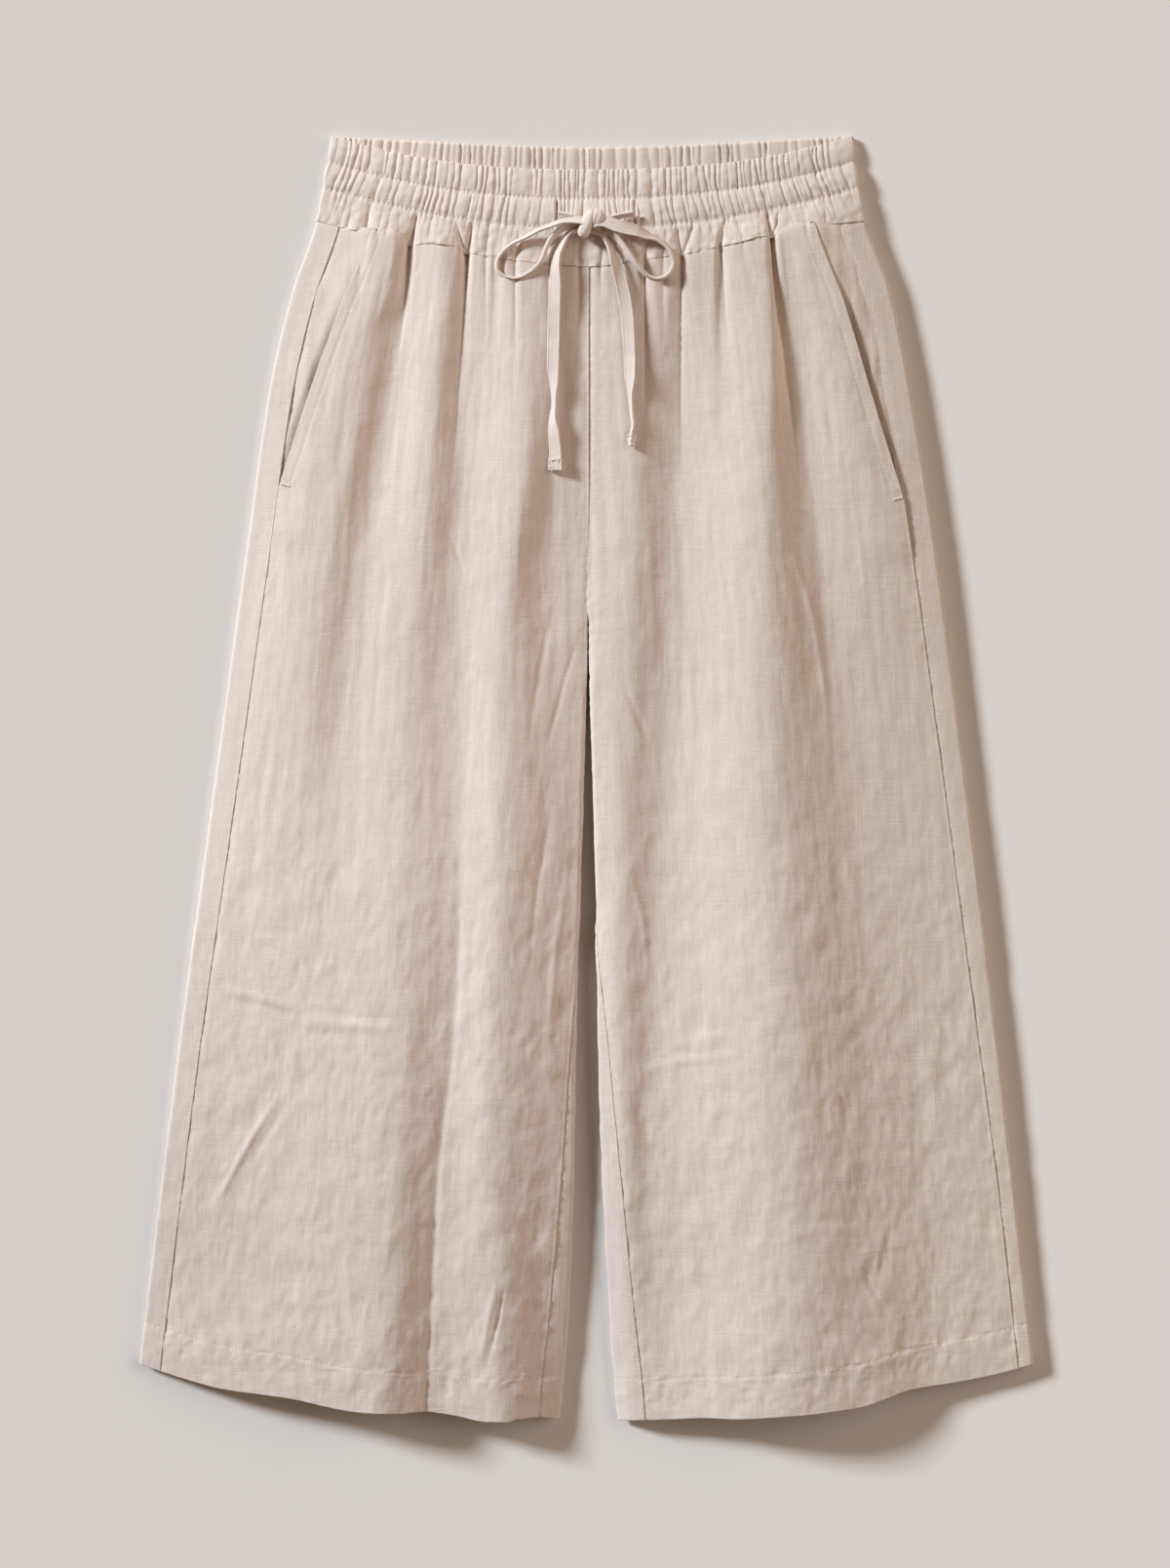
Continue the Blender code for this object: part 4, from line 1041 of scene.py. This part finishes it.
def band_half(side, w, front):
    """One layer of one half of the waistband's skin, from the centre line out to the side fold."""
    ends = (BAND_TOP_FRONT, BAND_SEAM_FRONT) if front else (BAND_TOP_BACK, BAND_SEAM_BACK)
    bend = mix(TOP_FRONT_BEND if front else TOP_BACK_BEND, WAIST_BEND, w)
    drop_side = BAND_SEAM_SIDE * w
    outer = float(outer_edge(side, drop_side))
    rounding = OUTER_ROUND * BAND_FOLD_HEIGHT
    edge = outer - rounding * (1 - np.cos(np.linspace(math.pi / 2, 0, 24)))
    out = np.concatenate([np.linspace(0, edge[0], 400)[:-1], edge])
    x = x_of(side, out)
    drop = mix(drop_side, mix(*ends, w), 1 - (out / outer) ** bend)
    near_out = round_off(outer - out, rounding)
    half_fold = BAND_FOLD_HEIGHT / 2
    if not front:
        return np.stack([x, drop, half_fold * (1 - near_out)], axis=1)
    low = ease((w - STITCH_LINES[1]) / (1 - STITCH_LINES[1]))
    drop = drop + stray(SEAM_STRAY, x) * low
    level = mix(BAND_FRONT_HEIGHT, BAND_FOLD_HEIGHT, (out / outer) ** 2)
    level += BAND_RISE * (min(w / STITCH_LINES[1], 1.0) - 1.15)
    height = mix(level, upper_height(side, x, drop), low)
    return np.stack([x, drop, mix(half_fold, height, near_out)], axis=1)


def band_line(w):
    """A level line round the whole waistband, from the centre back, with the same columns at every height."""
    quarters = []
    for side, front in (("right", False), ("right", True), ("left", True), ("left", False)):
        half = band_half(side, w, front)
        along = distances(half[:, [0, 2]])
        points = read_line(quarter_shares(front) * along[-1], along, half)
        outwards = (side == "right") != front
        quarters.append(points if outwards else points[::-1])
    return np.concatenate(quarters)


def quarter_shares(front):
    """Where a quarter's columns lie, as shares of it from the centre line out."""
    count = FRONT_COLUMNS if front else BACK_COLUMNS
    return (np.arange(count) + 0.5) / count


def band_along(girth):
    """How far round the band each column lies, from the centre back."""
    front, back = quarter_shares(True), quarter_shares(False)
    quarters = [back, 2 - front[::-1], 2 + front, 4 - back[::-1]]
    return np.concatenate(quarters) * girth / 4


class Gathers:
    """The waistband's gathers: narrow valleys between puffed pads, which wander from its top edge down."""

    def __init__(self, girth):
        rng = np.random.default_rng(21)
        places = []
        place = rng.uniform(1, 3)
        while place < girth - 2:
            places.append(place)
            place += rng.uniform(*(GATHER_PITCH if rng.random() > 0.1 else WIDE_PITCH))
        self.places = np.array(places)
        count = len(places)
        top, middle = rng.uniform(0.45, 1.3, (2, count, 1))
        top = np.where(rng.random((count, 1)) < MISSING_GATHERS, 0.1, top)
        middle = np.where(rng.random((count, 1)) < MISSING_GATHERS, 0.1, middle)
        both = 0.5 * (top + middle)
        reach = rng.uniform(0.0, 1.0, (count, 1)) ** 1.5
        columns = [top, top, top, 0.8 * both, middle, middle, 0.8 * middle, middle * (0.3 + 0.6 * reach)]
        columns += [0.6 * middle * reach, 0.25 * middle * reach**2]
        self.depths = GATHER_DEPTH * np.concatenate(columns, axis=1)
        lean = np.where(self.places < girth / 2, 1.0, -1.0)[:, None] * np.array(GATHER_LEAN)
        self.shifts = np.cumsum(rng.normal(0, 0.32, (count, len(BAND_HEIGHTS))), axis=1) - lean
        gaps = np.diff(np.concatenate([[self.places[0] - 4], self.places, [self.places[-1] + 4]]))
        before = gaps[:-1] * rng.uniform(0.3, 0.6, count)
        self.flanks = list(zip(before, gaps[1:] * rng.uniform(0.5, 0.8, count)))

    def depth(self, along, w):
        """How deep the cloth lies at the distances `along`, in rows of height w."""
        total = np.zeros((len(w), len(along)))
        for place, depths, shifts, flanks in zip(self.places, self.depths, self.shifts, self.flanks):
            near = np.abs(along - place) < GATHER_REACH
            middle = place + smooth(BAND_HEIGHTS, shifts, w)[:, None]
            size = smooth(BAND_HEIGHTS, depths, w)[:, None]
            total[:, near] += size * valley(along[near] - middle, *flanks)
        return total


def band_profile(w):
    """Puffed channels and pinched stitch lines, as a rise over the skin."""
    lines = (-0.03, *STITCH_LINES)
    rise = np.zeros_like(w)
    for low, high in zip(lines, lines[1:]):
        inside = np.clip((w - low) / (high - low), 0.0, 1.0)
        rise += BAND_PUFF * np.sin(math.pi * inside) ** 0.9
    rise += 0.6 * ease((w - STITCH_LINES[1]) / 0.08) * (1 - ease((w - 0.75) / 0.25))
    for line in STITCH_LINES:
        rise -= 0.15 * bell((w - line) / 0.016)
    return rise


def stitch_tucks(along, w):
    """The small tucks that each stitch pulls into the cloth beside its line."""
    phase = 2 * math.pi * along / TUCK_PITCH + 0.8 * np.sin(along / 5.3)
    depth = np.zeros((len(w), len(along)))
    for line in STITCH_LINES:
        depth += 0.45 * bell((w[:, None] - line) / 0.03) * (0.5 + 0.5 * np.sin(phase + line * 9))
    return depth


def waistband(material):
    """The gathered waistband: its outer face, the turn at its top edge and its inner face, in one sheet."""
    stretches = [
        [1.0, 0.992, 0.978],
        np.linspace(0.955, 0.65, 15),
        np.linspace(0.632, 0.572, 5),
        np.linspace(0.55, 0.35, 9),
        np.linspace(0.328, 0.272, 5),
        np.linspace(0.25, 0.035, 9),
        [0.018, 0.0],
    ]
    outer_w, inner_w = np.concatenate(stretches), np.array(BAND_INNER_ROWS)
    along = band_along(GIRTH)
    gathers = Gathers(GIRTH)
    from_middle = np.abs(along - GIRTH / 2)
    front = (from_middle < GIRTH / 4).astype(float)
    off_fold = ease(np.abs(from_middle - GIRTH / 4) / 10)
    upward = 2 * BACK_COLUMNS

    outer = np.stack([band_line(w) for w in outer_w])
    x, drop, rows = outer[..., 0], outer[..., 1], outer_w[:, None]
    under_line = rows - STITCH_LINES[1]
    depth = gathers.depth(along, outer_w) * (1 - 0.35 * (ease(under_line / 0.14) * front))
    depth += pleat_depth(x, drop, drop[:1]) * ease(under_line / 0.1) * front
    depth += stitch_tucks(along, outer_w)
    depth *= 1 - (1 - off_fold) * 0.6
    rise = band_profile(outer_w)[:, None] * (0.3 + 0.7 * np.maximum(front, 1 - off_fold))
    slit = np.zeros_like(depth)
    for place, deep in zip(SLIT_PLACES, SLIT_DEPTHS):
        reach = ease((SLIT_LENGTH / 2 - np.abs(drop - SLIT_DROP)) / 2.5 + 0.5)
        slit += deep * bell((x - place) / 0.9) * reach * front
    wobble = 0.22 * CRUMPLE.at(x, drop) * ease((rows - 0.62) / 0.2) + 0.14 * PUCKERS.at(x, drop)
    edge = (0.26 + 0.22 * PUCKERS.at(x * 1.3, drop)) * ease((rows - 0.9) / 0.1)
    relief = rise - depth - slit + wobble * off_fold + edge
    outer = outer + normals_of(outer, upward) * relief[..., None]
    outer[..., 1] += 0.8 * depth * bell(rows / 0.05)

    inner = np.stack([band_line(w) for w in inner_w])
    depth = gathers.depth(along, inner_w) * 1.2 + 0.7 * stitch_tucks(along, inner_w)
    inward = np.maximum(BAND_THICK + 0.6 * band_profile(inner_w)[:, None] - depth, 0.9)
    inner = inner - normals_of(inner, upward) * inward[..., None]
    inner[..., 1] += 0.6 + 0.7 * depth * bell(inner_w[:, None] / 0.05)

    turn = []
    for share in (0.2, 0.5, 0.8):
        turn.append(mix(outer[-1], inner[0], share) - (0.0, 0.75 * math.sin(math.pi * share), 0.0))
    outer[..., 2] = np.maximum(outer[..., 2], 0.0)
    normal = normals_of(outer, upward)
    cloth = np.concatenate([add_rows(outer, normal, OVER_EDGE), np.stack(turn), inner], axis=0)
    thing = sheet_mesh("linen_waistband", cloth, material, closed=True)
    return thing, Panel(outer, normal, outer_w, None, None, None), inner, inner_w


# ---------------------------------------------------------------- stitches


def capsules(name, places, material):
    """Short rounded threads, joined in one mesh. Each place is (middle, direction, length, radius)."""
    sides = 5
    turns = np.arange(sides) / sides * 2 * math.pi
    shape = [(-0.5, 0.35), (-0.36, 1.0), (0.36, 1.0), (0.5, 0.35)]
    points, faces = [], []
    for middle, direction, length, radius in places:
        faces += tube_faces(len(shape), sides, base=len(points) * len(shape) * sides)
        side = unit(np.cross(direction, (0.0, 0.0, 1.0) if abs(direction[2]) < 0.9 else (1.0, 0.0, 0.0)))
        ring = np.cos(turns)[:, None] * side + np.sin(turns)[:, None] * np.cross(side, direction)
        rings = [middle + direction * length * place + ring * radius * size for place, size in shape]
        points.append(np.concatenate(rings))
    return make_mesh(name, np.concatenate(points), faces, material)


def stitch_run(line, normal, kind):
    """Stitches of one kind along a line of points on cloth, as places for capsules."""
    pitch, length, radius, raised, slant = kind
    along = distances(line)
    places = []
    for middle in np.arange(pitch / 2, along[-1] - pitch / 2, pitch):
        start, end = (read_line(middle + shift, along, line) for shift in (-length / 2, length / 2))
        up = unit(read_line(middle, along, normal))
        direction = unit(end - start)
        if slant:
            direction = unit(direction + slant * np.cross(direction, up))
        places.append(((start + end) / 2 + up * raised, direction, length, radius))
    return places


def line_along(panel, distance, from_start):
    """The line at a distance from a panel's first or last seam, and its normals."""
    wanted = panel.start + distance if from_start else panel.end - distance
    points = np.array([read_line(*row) for row in zip(wanted, panel.at, panel.points)])
    normal = np.array([read_line(*row) for row in zip(wanted, panel.at, panel.normal)])
    points[:, 2] = np.maximum(points[:, 2], 0.25)
    return points, normal


def seam_stitches(panel, distance, from_start, low, high=math.inf):
    """The stitches at a distance from a panel's first or last seam, from one drop to another."""
    line, normal = line_along(panel, distance, from_start)
    kept = (line[:, 1] >= low) & (line[:, 1] <= high)
    return stitch_run(line[kept], normal[kept], SEAM_STITCH)


def hem_stitches(panel):
    """The row of stitches that holds a hem."""
    row = nearest((1 - panel.rows) * LEG_LENGTH, HEM_HEIGHT)
    return stitch_run(panel.points[row], panel.normal[row], HEM_STITCH)


def all_stitches(fronts, backs, band, band_inner, inner_w, material):
    """Every row of stitches, joined in a piece for the legs and one for the waistband."""
    legs = []
    for side in SIGN:
        front, back = fronts[side], backs[side]
        pocket_end = POCKETS[side].end_drop
        legs += seam_stitches(back, SEAM_STITCHES, True, BAND_SEAM_SIDE + 2)
        legs += seam_stitches(back, SEAM_STITCHES, False, CROTCH + 10)
        legs += seam_stitches(front, MOUTH_STITCHES, False, BAND_SEAM_SIDE + 5, pocket_end - 12)
        legs += hem_stitches(front) + hem_stitches(back)
        legs += bartack(front, pocket_end - 2)
    legs += seam_stitches(fronts["right"], SEAM_STITCHES, True, CENTRE_SEAM_START, SLIT_START)
    waist = []
    front = slice(BACK_COLUMNS, -BACK_COLUMNS)
    for line in STITCH_LINES:
        row = nearest(band.at, line)
        waist += stitch_run(band.points[row, front], band.normal[row, front], BAND_STITCH)
    row = nearest(inner_w, STITCH_LINES[0])
    upright = np.tile([0.0, 0.0, 1.0], (BACK_COLUMNS, 1))
    for half in (slice(0, BACK_COLUMNS), slice(-BACK_COLUMNS, None)):
        waist += stitch_run(band_inner[row, half], upright, BAND_STITCH)
    waist += stitch_run(band_inner[: row + 1, 0], upright[: row + 1], JOIN_STITCH)
    for place in SLIT_PLACES:
        waist += slit_stitches(band, place)
    waist += fray()
    return capsules("stitches_legs", legs, material), capsules("stitches_waist", waist, material)


def bartack(front, drop):
    """The dense row of stitches that closes a pocket's lower end."""
    line, _ = line_along(front, 0.8, False)
    row = nearest(line[:, 1], drop)
    wide = front.end[row] - front.at[row] < MOUTH_STITCHES + 1
    return stitch_run(front.points[row][wide], front.normal[row][wide], BARTACK_STITCH)


def slit_stitches(band, place):
    """Dense stitches down both edges of a slit for the tape."""
    runs = []
    front = slice(BACK_COLUMNS, -BACK_COLUMNS)
    for offset in (-2.0, 2.0):
        line, normal = [], []
        for points, normals in zip(band.points[:, front], band.normal[:, front]):
            column = nearest(points[:, 0], place + offset)
            if abs(points[column, 1] - SLIT_DROP) < SLIT_LENGTH / 2 + 1:
                line.append(points[column])
                normal.append(normals[column])
        runs += stitch_run(np.array(line), np.array(normal), SLIT_STITCH)
    return runs


# ---------------------------------------------------------------- the tape


def tape_frame(side):
    """The tape's middle line, its directions across and out of its face, and its width as a share."""
    rows = np.array(ROUTES[side], float)
    along = distances(rows[:, :3])
    line = catmull_rom(along, rows, np.linspace(0, along[-1], int(along[-1] / TAPE_STEP)))
    middle, roll = line[:, :3], np.radians(line[:, 3:4])
    upright = np.abs(np.sin(roll))
    width = 1 - 0.5 * ease((upright - 0.5) / 0.4)
    middle[:, 2:3] -= (1 - width) * upright * TAPE_WIDTH / 2 * ease(distances(middle)[:, None] / 30)
    heading = unit(np.gradient(middle, axis=0))
    sideways = unit(np.stack([heading[:, 1], -heading[:, 0], np.zeros(len(line))], axis=1))
    upwards = np.cross(heading, sideways)
    upwards *= np.where(upwards[:, 2:3] < 0, -1.0, 1.0)
    across = sideways * np.cos(roll) + upwards * np.sin(roll)
    for k in range(1, len(across)):
        if across[k] @ across[k - 1] < 0:
            across[k] = -across[k]
    window = np.ones(7) / 7
    padded = np.pad(across, ((3, 3), (0, 0)), mode="edge")
    across = np.stack([np.convolve(column, window, mode="valid") for column in padded.T], axis=1)
    across = unit(across - heading * np.sum(across * heading, axis=1, keepdims=True))
    return middle, across, unit(np.cross(heading, across)), width


def tape_section():
    """Places across the tape and half its thickness there, with beaded edges."""
    across = np.array([0.15, 0.4, 0.62, 0.7, 0.8, 0.9, 0.97, 1.0])
    across = np.concatenate([-across[::-1], across])
    half = [0.1, 0.36, 0.56, 0.58, 0.4, 0.42, 0.5, 0.46, 0.44, 0.5, 0.42, 0.4, 0.58, 0.56, 0.36, 0.1]
    return across * TAPE_WIDTH / 2, np.array(half) * TAPE_THICK


def tape_end(side, from_end):
    """The tape's width and thickness near its free end, as shares: a folded hem, or a twisted frayed nub."""
    if side == "right":
        folded = ease((TAPE_HEM - from_end) / 0.9)
        return 1 + 0.10 * folded, 1 + 0.85 * folded
    shrunk = ease((TAPE_NUB - from_end) / NUB_FADE)
    knobbly = 1 + 0.22 * np.sin(from_end * 1.9) * shrunk
    return (1 - 0.58 * shrunk) * knobbly, 1 + 1.3 * shrunk * knobbly


def drawstring(side, material):
    """One free end of the tape, from its slit through the knot, round its loop and down to its end."""
    middle, across, face, folded = tape_frame(side)
    places, half = tape_section()
    along = distances(middle)
    width, thick = tape_end(side, along[-1] - along)
    width, thick = width[:, None] * folded, thick[:, None] * (1 + 0.5 * (1 - folded))
    knots = np.arange(0, along[-1] + 9, 7.0)
    ripple = np.interp(along, knots, np.random.default_rng(31).normal(0, 0.2, len(knots)))[:, None]
    cup = 0.3 * (1 - (places / places[-1]) ** 2)
    top, low = [], []
    for place, deep, rise in zip(places, half, cup):
        line = middle + across * place * width
        top.append(line + face * (deep * thick + rise + ripple))
        low.append(line - face * (deep * thick - rise - ripple))
    rings = np.stack(top + low[::-1], axis=1)
    faces = tube_faces(*rings.shape[:2])
    return make_mesh(f"drawstring_{side}", rings.reshape(-1, 3), faces, material), middle


def fray():
    """Loose threads and stitches at the tape's free ends, as places for capsules."""
    rng = np.random.default_rng(41)
    threads = []
    for side, count, spread in (("right", 30, TAPE_HEM + 0.8), ("left", 22, NUB_FADE)):
        middle, across, face, _ = tape_frame(side)
        along = distances(middle)
        for _ in range(count):
            row = nearest(along[-1] - along, rng.uniform(0, spread))
            if side == "right" and rng.random() < 0.6:
                row = nearest(along[-1] - along, TAPE_HEM - rng.uniform(-0.5, 0.5))
            width, _ = tape_end(side, along[-1] - along[row])
            shift = rng.uniform(-1, 1) * TAPE_WIDTH / 2 * float(width)
            top = face[row] * np.sign(face[row][2])
            place = middle[row] + across[row] * shift + top * (1.25 if side == "right" else 1.6)
            heading = across[row] * rng.normal(0, 1) + np.cross(face[row], across[row]) * rng.normal(0, 0.8)
            heading = unit(heading)
            threads.append((place, heading, rng.uniform(1.2, 3.0), rng.uniform(0.16, 0.3)))
    return threads


def knot(material):
    """The wrap of tape over the bow's middle and the folded tape that it holds, with creases along them."""
    rows, columns = 36, 56
    lengthwise = np.linspace(0.02, math.pi - 0.02, rows)[:, None]
    round_it = np.linspace(0, 2 * math.pi, columns, endpoint=False)[None, :]
    points, faces = [], []
    for lump in KNOT_LUMPS:
        twisted = round_it + 0.3 * lengthwise
        creases = 1 + 0.06 * np.cos(lump.creases * 2 * np.cos(twisted)) * np.sin(lengthwise)
        along = -np.cos(lengthwise) * lump.long * np.ones_like(round_it)
        wide = np.sin(lengthwise) ** 0.7 * np.cos(round_it) * lump.wide * creases
        high = np.sin(lengthwise) ** 0.7 * np.sin(round_it) * lump.high * creases
        lean = math.radians(lump.lean)
        x = lump.x + wide * math.cos(lean) - along * math.sin(lean)
        drop = lump.drop + along * math.cos(lean) + wide * math.sin(lean)
        faces += tube_faces(rows, columns, base=len(points) * rows * columns)
        points.append(np.stack([x, drop, lump.z + high], axis=2).reshape(-1, 3))
    return make_mesh("drawstring_knot", np.concatenate(points), faces, material)


# ---------------------------------------------------------------- materials


class Nodes:
    """A short way to add and link a material's nodes."""

    def __init__(self, name):
        self.material = bpy.data.materials.new(name)
        self.material.use_nodes = True
        self.tree = self.material.node_tree
        self.shader = self.tree.nodes["Principled BSDF"]

    def fill(self, node, values):
        """Sets a node's sockets to values, or links them to sockets of other nodes."""
        for key, value in values.items():
            if isinstance(value, bpy.types.NodeSocket):
                self.tree.links.new(value, node.inputs[key])
            else:
                node.inputs[key].default_value = value

    def add(self, kind, values, output=0, **settings):
        """Adds a node and gives back one of its outputs."""
        node = self.tree.nodes.new(f"ShaderNode{kind}")
        for key, value in settings.items():
            setattr(node, key, value)
        self.fill(node, values)
        return node.outputs[output]

    def math(self, operation, *values):
        return self.add("Math", dict(enumerate(values)), operation=operation)

    def noise(self, vector, stretch, detail=2.0):
        """Noise with features of the given size, in millimetres along x, y and z."""
        place = self.add("Mapping", {"Vector": vector, "Scale": tuple(1000 / size for size in stretch)})
        values = {"Vector": place, "Scale": 1.0, "Detail": detail, "Roughness": 0.5}
        return self.add("TexNoise", values, "Fac")


def linen(name, colour, thread=0.62, contrast=1.0):
    """Plain-weave linen: crossed threads of uneven thickness, slubs, a soft mottle, and painted shade."""
    nodes = Nodes(name)
    place = nodes.add("TexCoord", {}, "Object")
    warp = nodes.noise(place, (thread, 16 * thread, 3), detail=1.0)
    weft = nodes.noise(place, (14 * thread, thread, 3), detail=1.0)
    crossed = nodes.math("ADD", warp, weft)
    slubs = nodes.math("ADD", nodes.noise(place, (0.9, 30.0, 8)), nodes.noise(place, (26.0, 0.9, 8)))
    mottle = nodes.noise(place, (26.0, 34.0, 26.0), detail=4.0)
    height = nodes.math("ADD", crossed, nodes.math("MULTIPLY", slubs, 0.35))

    tone = 1.0
    for noise, middle, size in ((crossed, 1.0, 0.15), (slubs, 1.0, 0.15), (mottle, 0.5, 0.09)):
        change = nodes.math("MULTIPLY", nodes.math("SUBTRACT", noise, middle), size * contrast)
        tone = nodes.math("ADD", tone, change)
    # Painted shade: darker towards +x away from the hem, darker at the hem itself, and less blue past x = 0.
    x, y = (nodes.add("SeparateXYZ", {"Vector": place}, axis) for axis in "XY")
    span = {"Value": y, "From Min": -0.02, "From Max": -0.36}
    low = nodes.add("MapRange", span, interpolation_type="SMOOTHSTEP")
    across = nodes.math("MULTIPLY", x, nodes.math("SUBTRACT", 1.0, low))
    tone = nodes.math("SUBTRACT", tone, nodes.math("MULTIPLY", across, PAINTED_SHADE_ACROSS))
    tone = nodes.math("SUBTRACT", tone, nodes.math("MULTIPLY", low, PAINTED_HEM_SHADE))
    shade = nodes.add("VectorMath", {0: colour, "Scale": tone}, operation="SCALE")
    past_middle = nodes.math("MAXIMUM", x, 0.0)
    blue = nodes.math("SUBTRACT", 1.0, nodes.math("MULTIPLY", past_middle, PAINTED_SHADE_WARMTH))
    tint = nodes.add("CombineXYZ", {"X": 1.0, "Y": 1.0, "Z": blue})
    shader = {
        "Base Color": nodes.add("VectorMath", {0: shade, 1: tint}, operation="MULTIPLY"),
        "Normal": nodes.add("Bump", {"Strength": 0.55, "Distance": 0.00022, "Height": height}),
        "Roughness": 0.92,
        "Specular IOR Level": 0.25,
        "Sheen Weight": 0.12,
        "Sheen Roughness": 0.6,
    }
    nodes.fill(nodes.shader, shader)
    return nodes.material


def thread_material():
    nodes = Nodes("thread")
    twist = nodes.noise(nodes.add("TexCoord", {}, "Object"), (0.3, 0.3, 0.3))
    tone = nodes.math("ADD", 0.85, nodes.math("MULTIPLY", twist, 0.3))
    colour = nodes.add("VectorMath", {0: THREAD_COLOUR, "Scale": tone}, operation="SCALE")
    nodes.fill(nodes.shader, {"Base Color": colour, "Roughness": 0.7})
    return nodes.material


def floor_material():
    nodes = Nodes("floor")
    values = {"Base Color": (*FLOOR_COLOUR, 1.0), "Roughness": 1.0, "Specular IOR Level": 0.0}
    nodes.fill(nodes.shader, values)
    return nodes.material


# ---------------------------------------------------------------- the scene


def make_camera():
    data = bpy.data.cameras.new("camera")
    data.sensor_width = SENSOR
    data.lens = SENSOR * CAMERA_DISTANCE / VIEW_HEIGHT
    data.clip_end = 20.0
    camera = bpy.data.objects.new("camera", data)
    camera.location = (VIEW_CENTRE[0] * MM, VIEW_CENTRE[1] * MM, CAMERA_DISTANCE * MM)
    bpy.context.scene.collection.objects.link(camera)
    bpy.context.scene.camera = camera


def make_light():
    scene = bpy.context.scene
    scene.view_settings.view_transform = "Standard"
    for lamp in LAMPS:
        sun = bpy.data.lights.new(lamp.name, "SUN")
        sun.energy = lamp.strength
        sun.angle = math.radians(lamp.size)
        sun.color = lamp.colour
        thing = bpy.data.objects.new(lamp.name, sun)
        heading = math.atan2(lamp.travel[1], lamp.travel[0])
        thing.rotation_euler = (0.0, math.radians(90 - lamp.elevation), heading + math.pi)
        scene.collection.objects.link(thing)
    world = bpy.data.worlds.new("world")
    world.use_nodes = True
    background = world.node_tree.nodes["Background"]
    background.inputs["Color"].default_value = (*WORLD_COLOUR, 1.0)
    background.inputs["Strength"].default_value = WORLD_STRENGTH
    scene.world = world


def make_floor():
    corners = ((-1, -1), (1, -1), (1, 1), (-1, 1))
    points = [(x * FLOOR_HALF, drop * FLOOR_HALF, FLOOR_Z) for x, drop in corners]
    make_mesh("floor", points, [[3, 2, 1, 0]], floor_material())


def main():
    make_camera()
    make_light()
    make_floor()
    cloth = linen("linen", LINEN_COLOUR)
    tape = linen("tape", TAPE_COLOUR, thread=0.4, contrast=0.7)
    thread = thread_material()

    wrap = knot(tape)
    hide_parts("tape_knot")
    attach(wrap, "root")
    for side in SIGN:
        cord, middle = drawstring(side, tape)
        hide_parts(f"tape_stub_{side}", f"tape_loop_{side}", f"tape_tail_{side}")
        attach(cord, "root")

    fronts, backs = {}, {}
    for side in SIGN:
        thing, fronts[side] = front_panel(side, cloth)
        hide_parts(f"front_{side}")
        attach(thing, "root")
        thing, backs[side] = back_panel(side, cloth)
        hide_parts(f"back_{side}")
        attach(thing, "root")
        facing = pocket_facing(side, cloth)
        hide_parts(f"pocket_facing_{side}")
        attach(facing, "root")

    band, band_panel, band_inner, inner_w = waistband(cloth)
    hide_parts("waistband")
    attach(band, "root")
    for piece in all_stitches(fronts, backs, band_panel, band_inner, inner_w, thread):
        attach(piece, "root")


main()
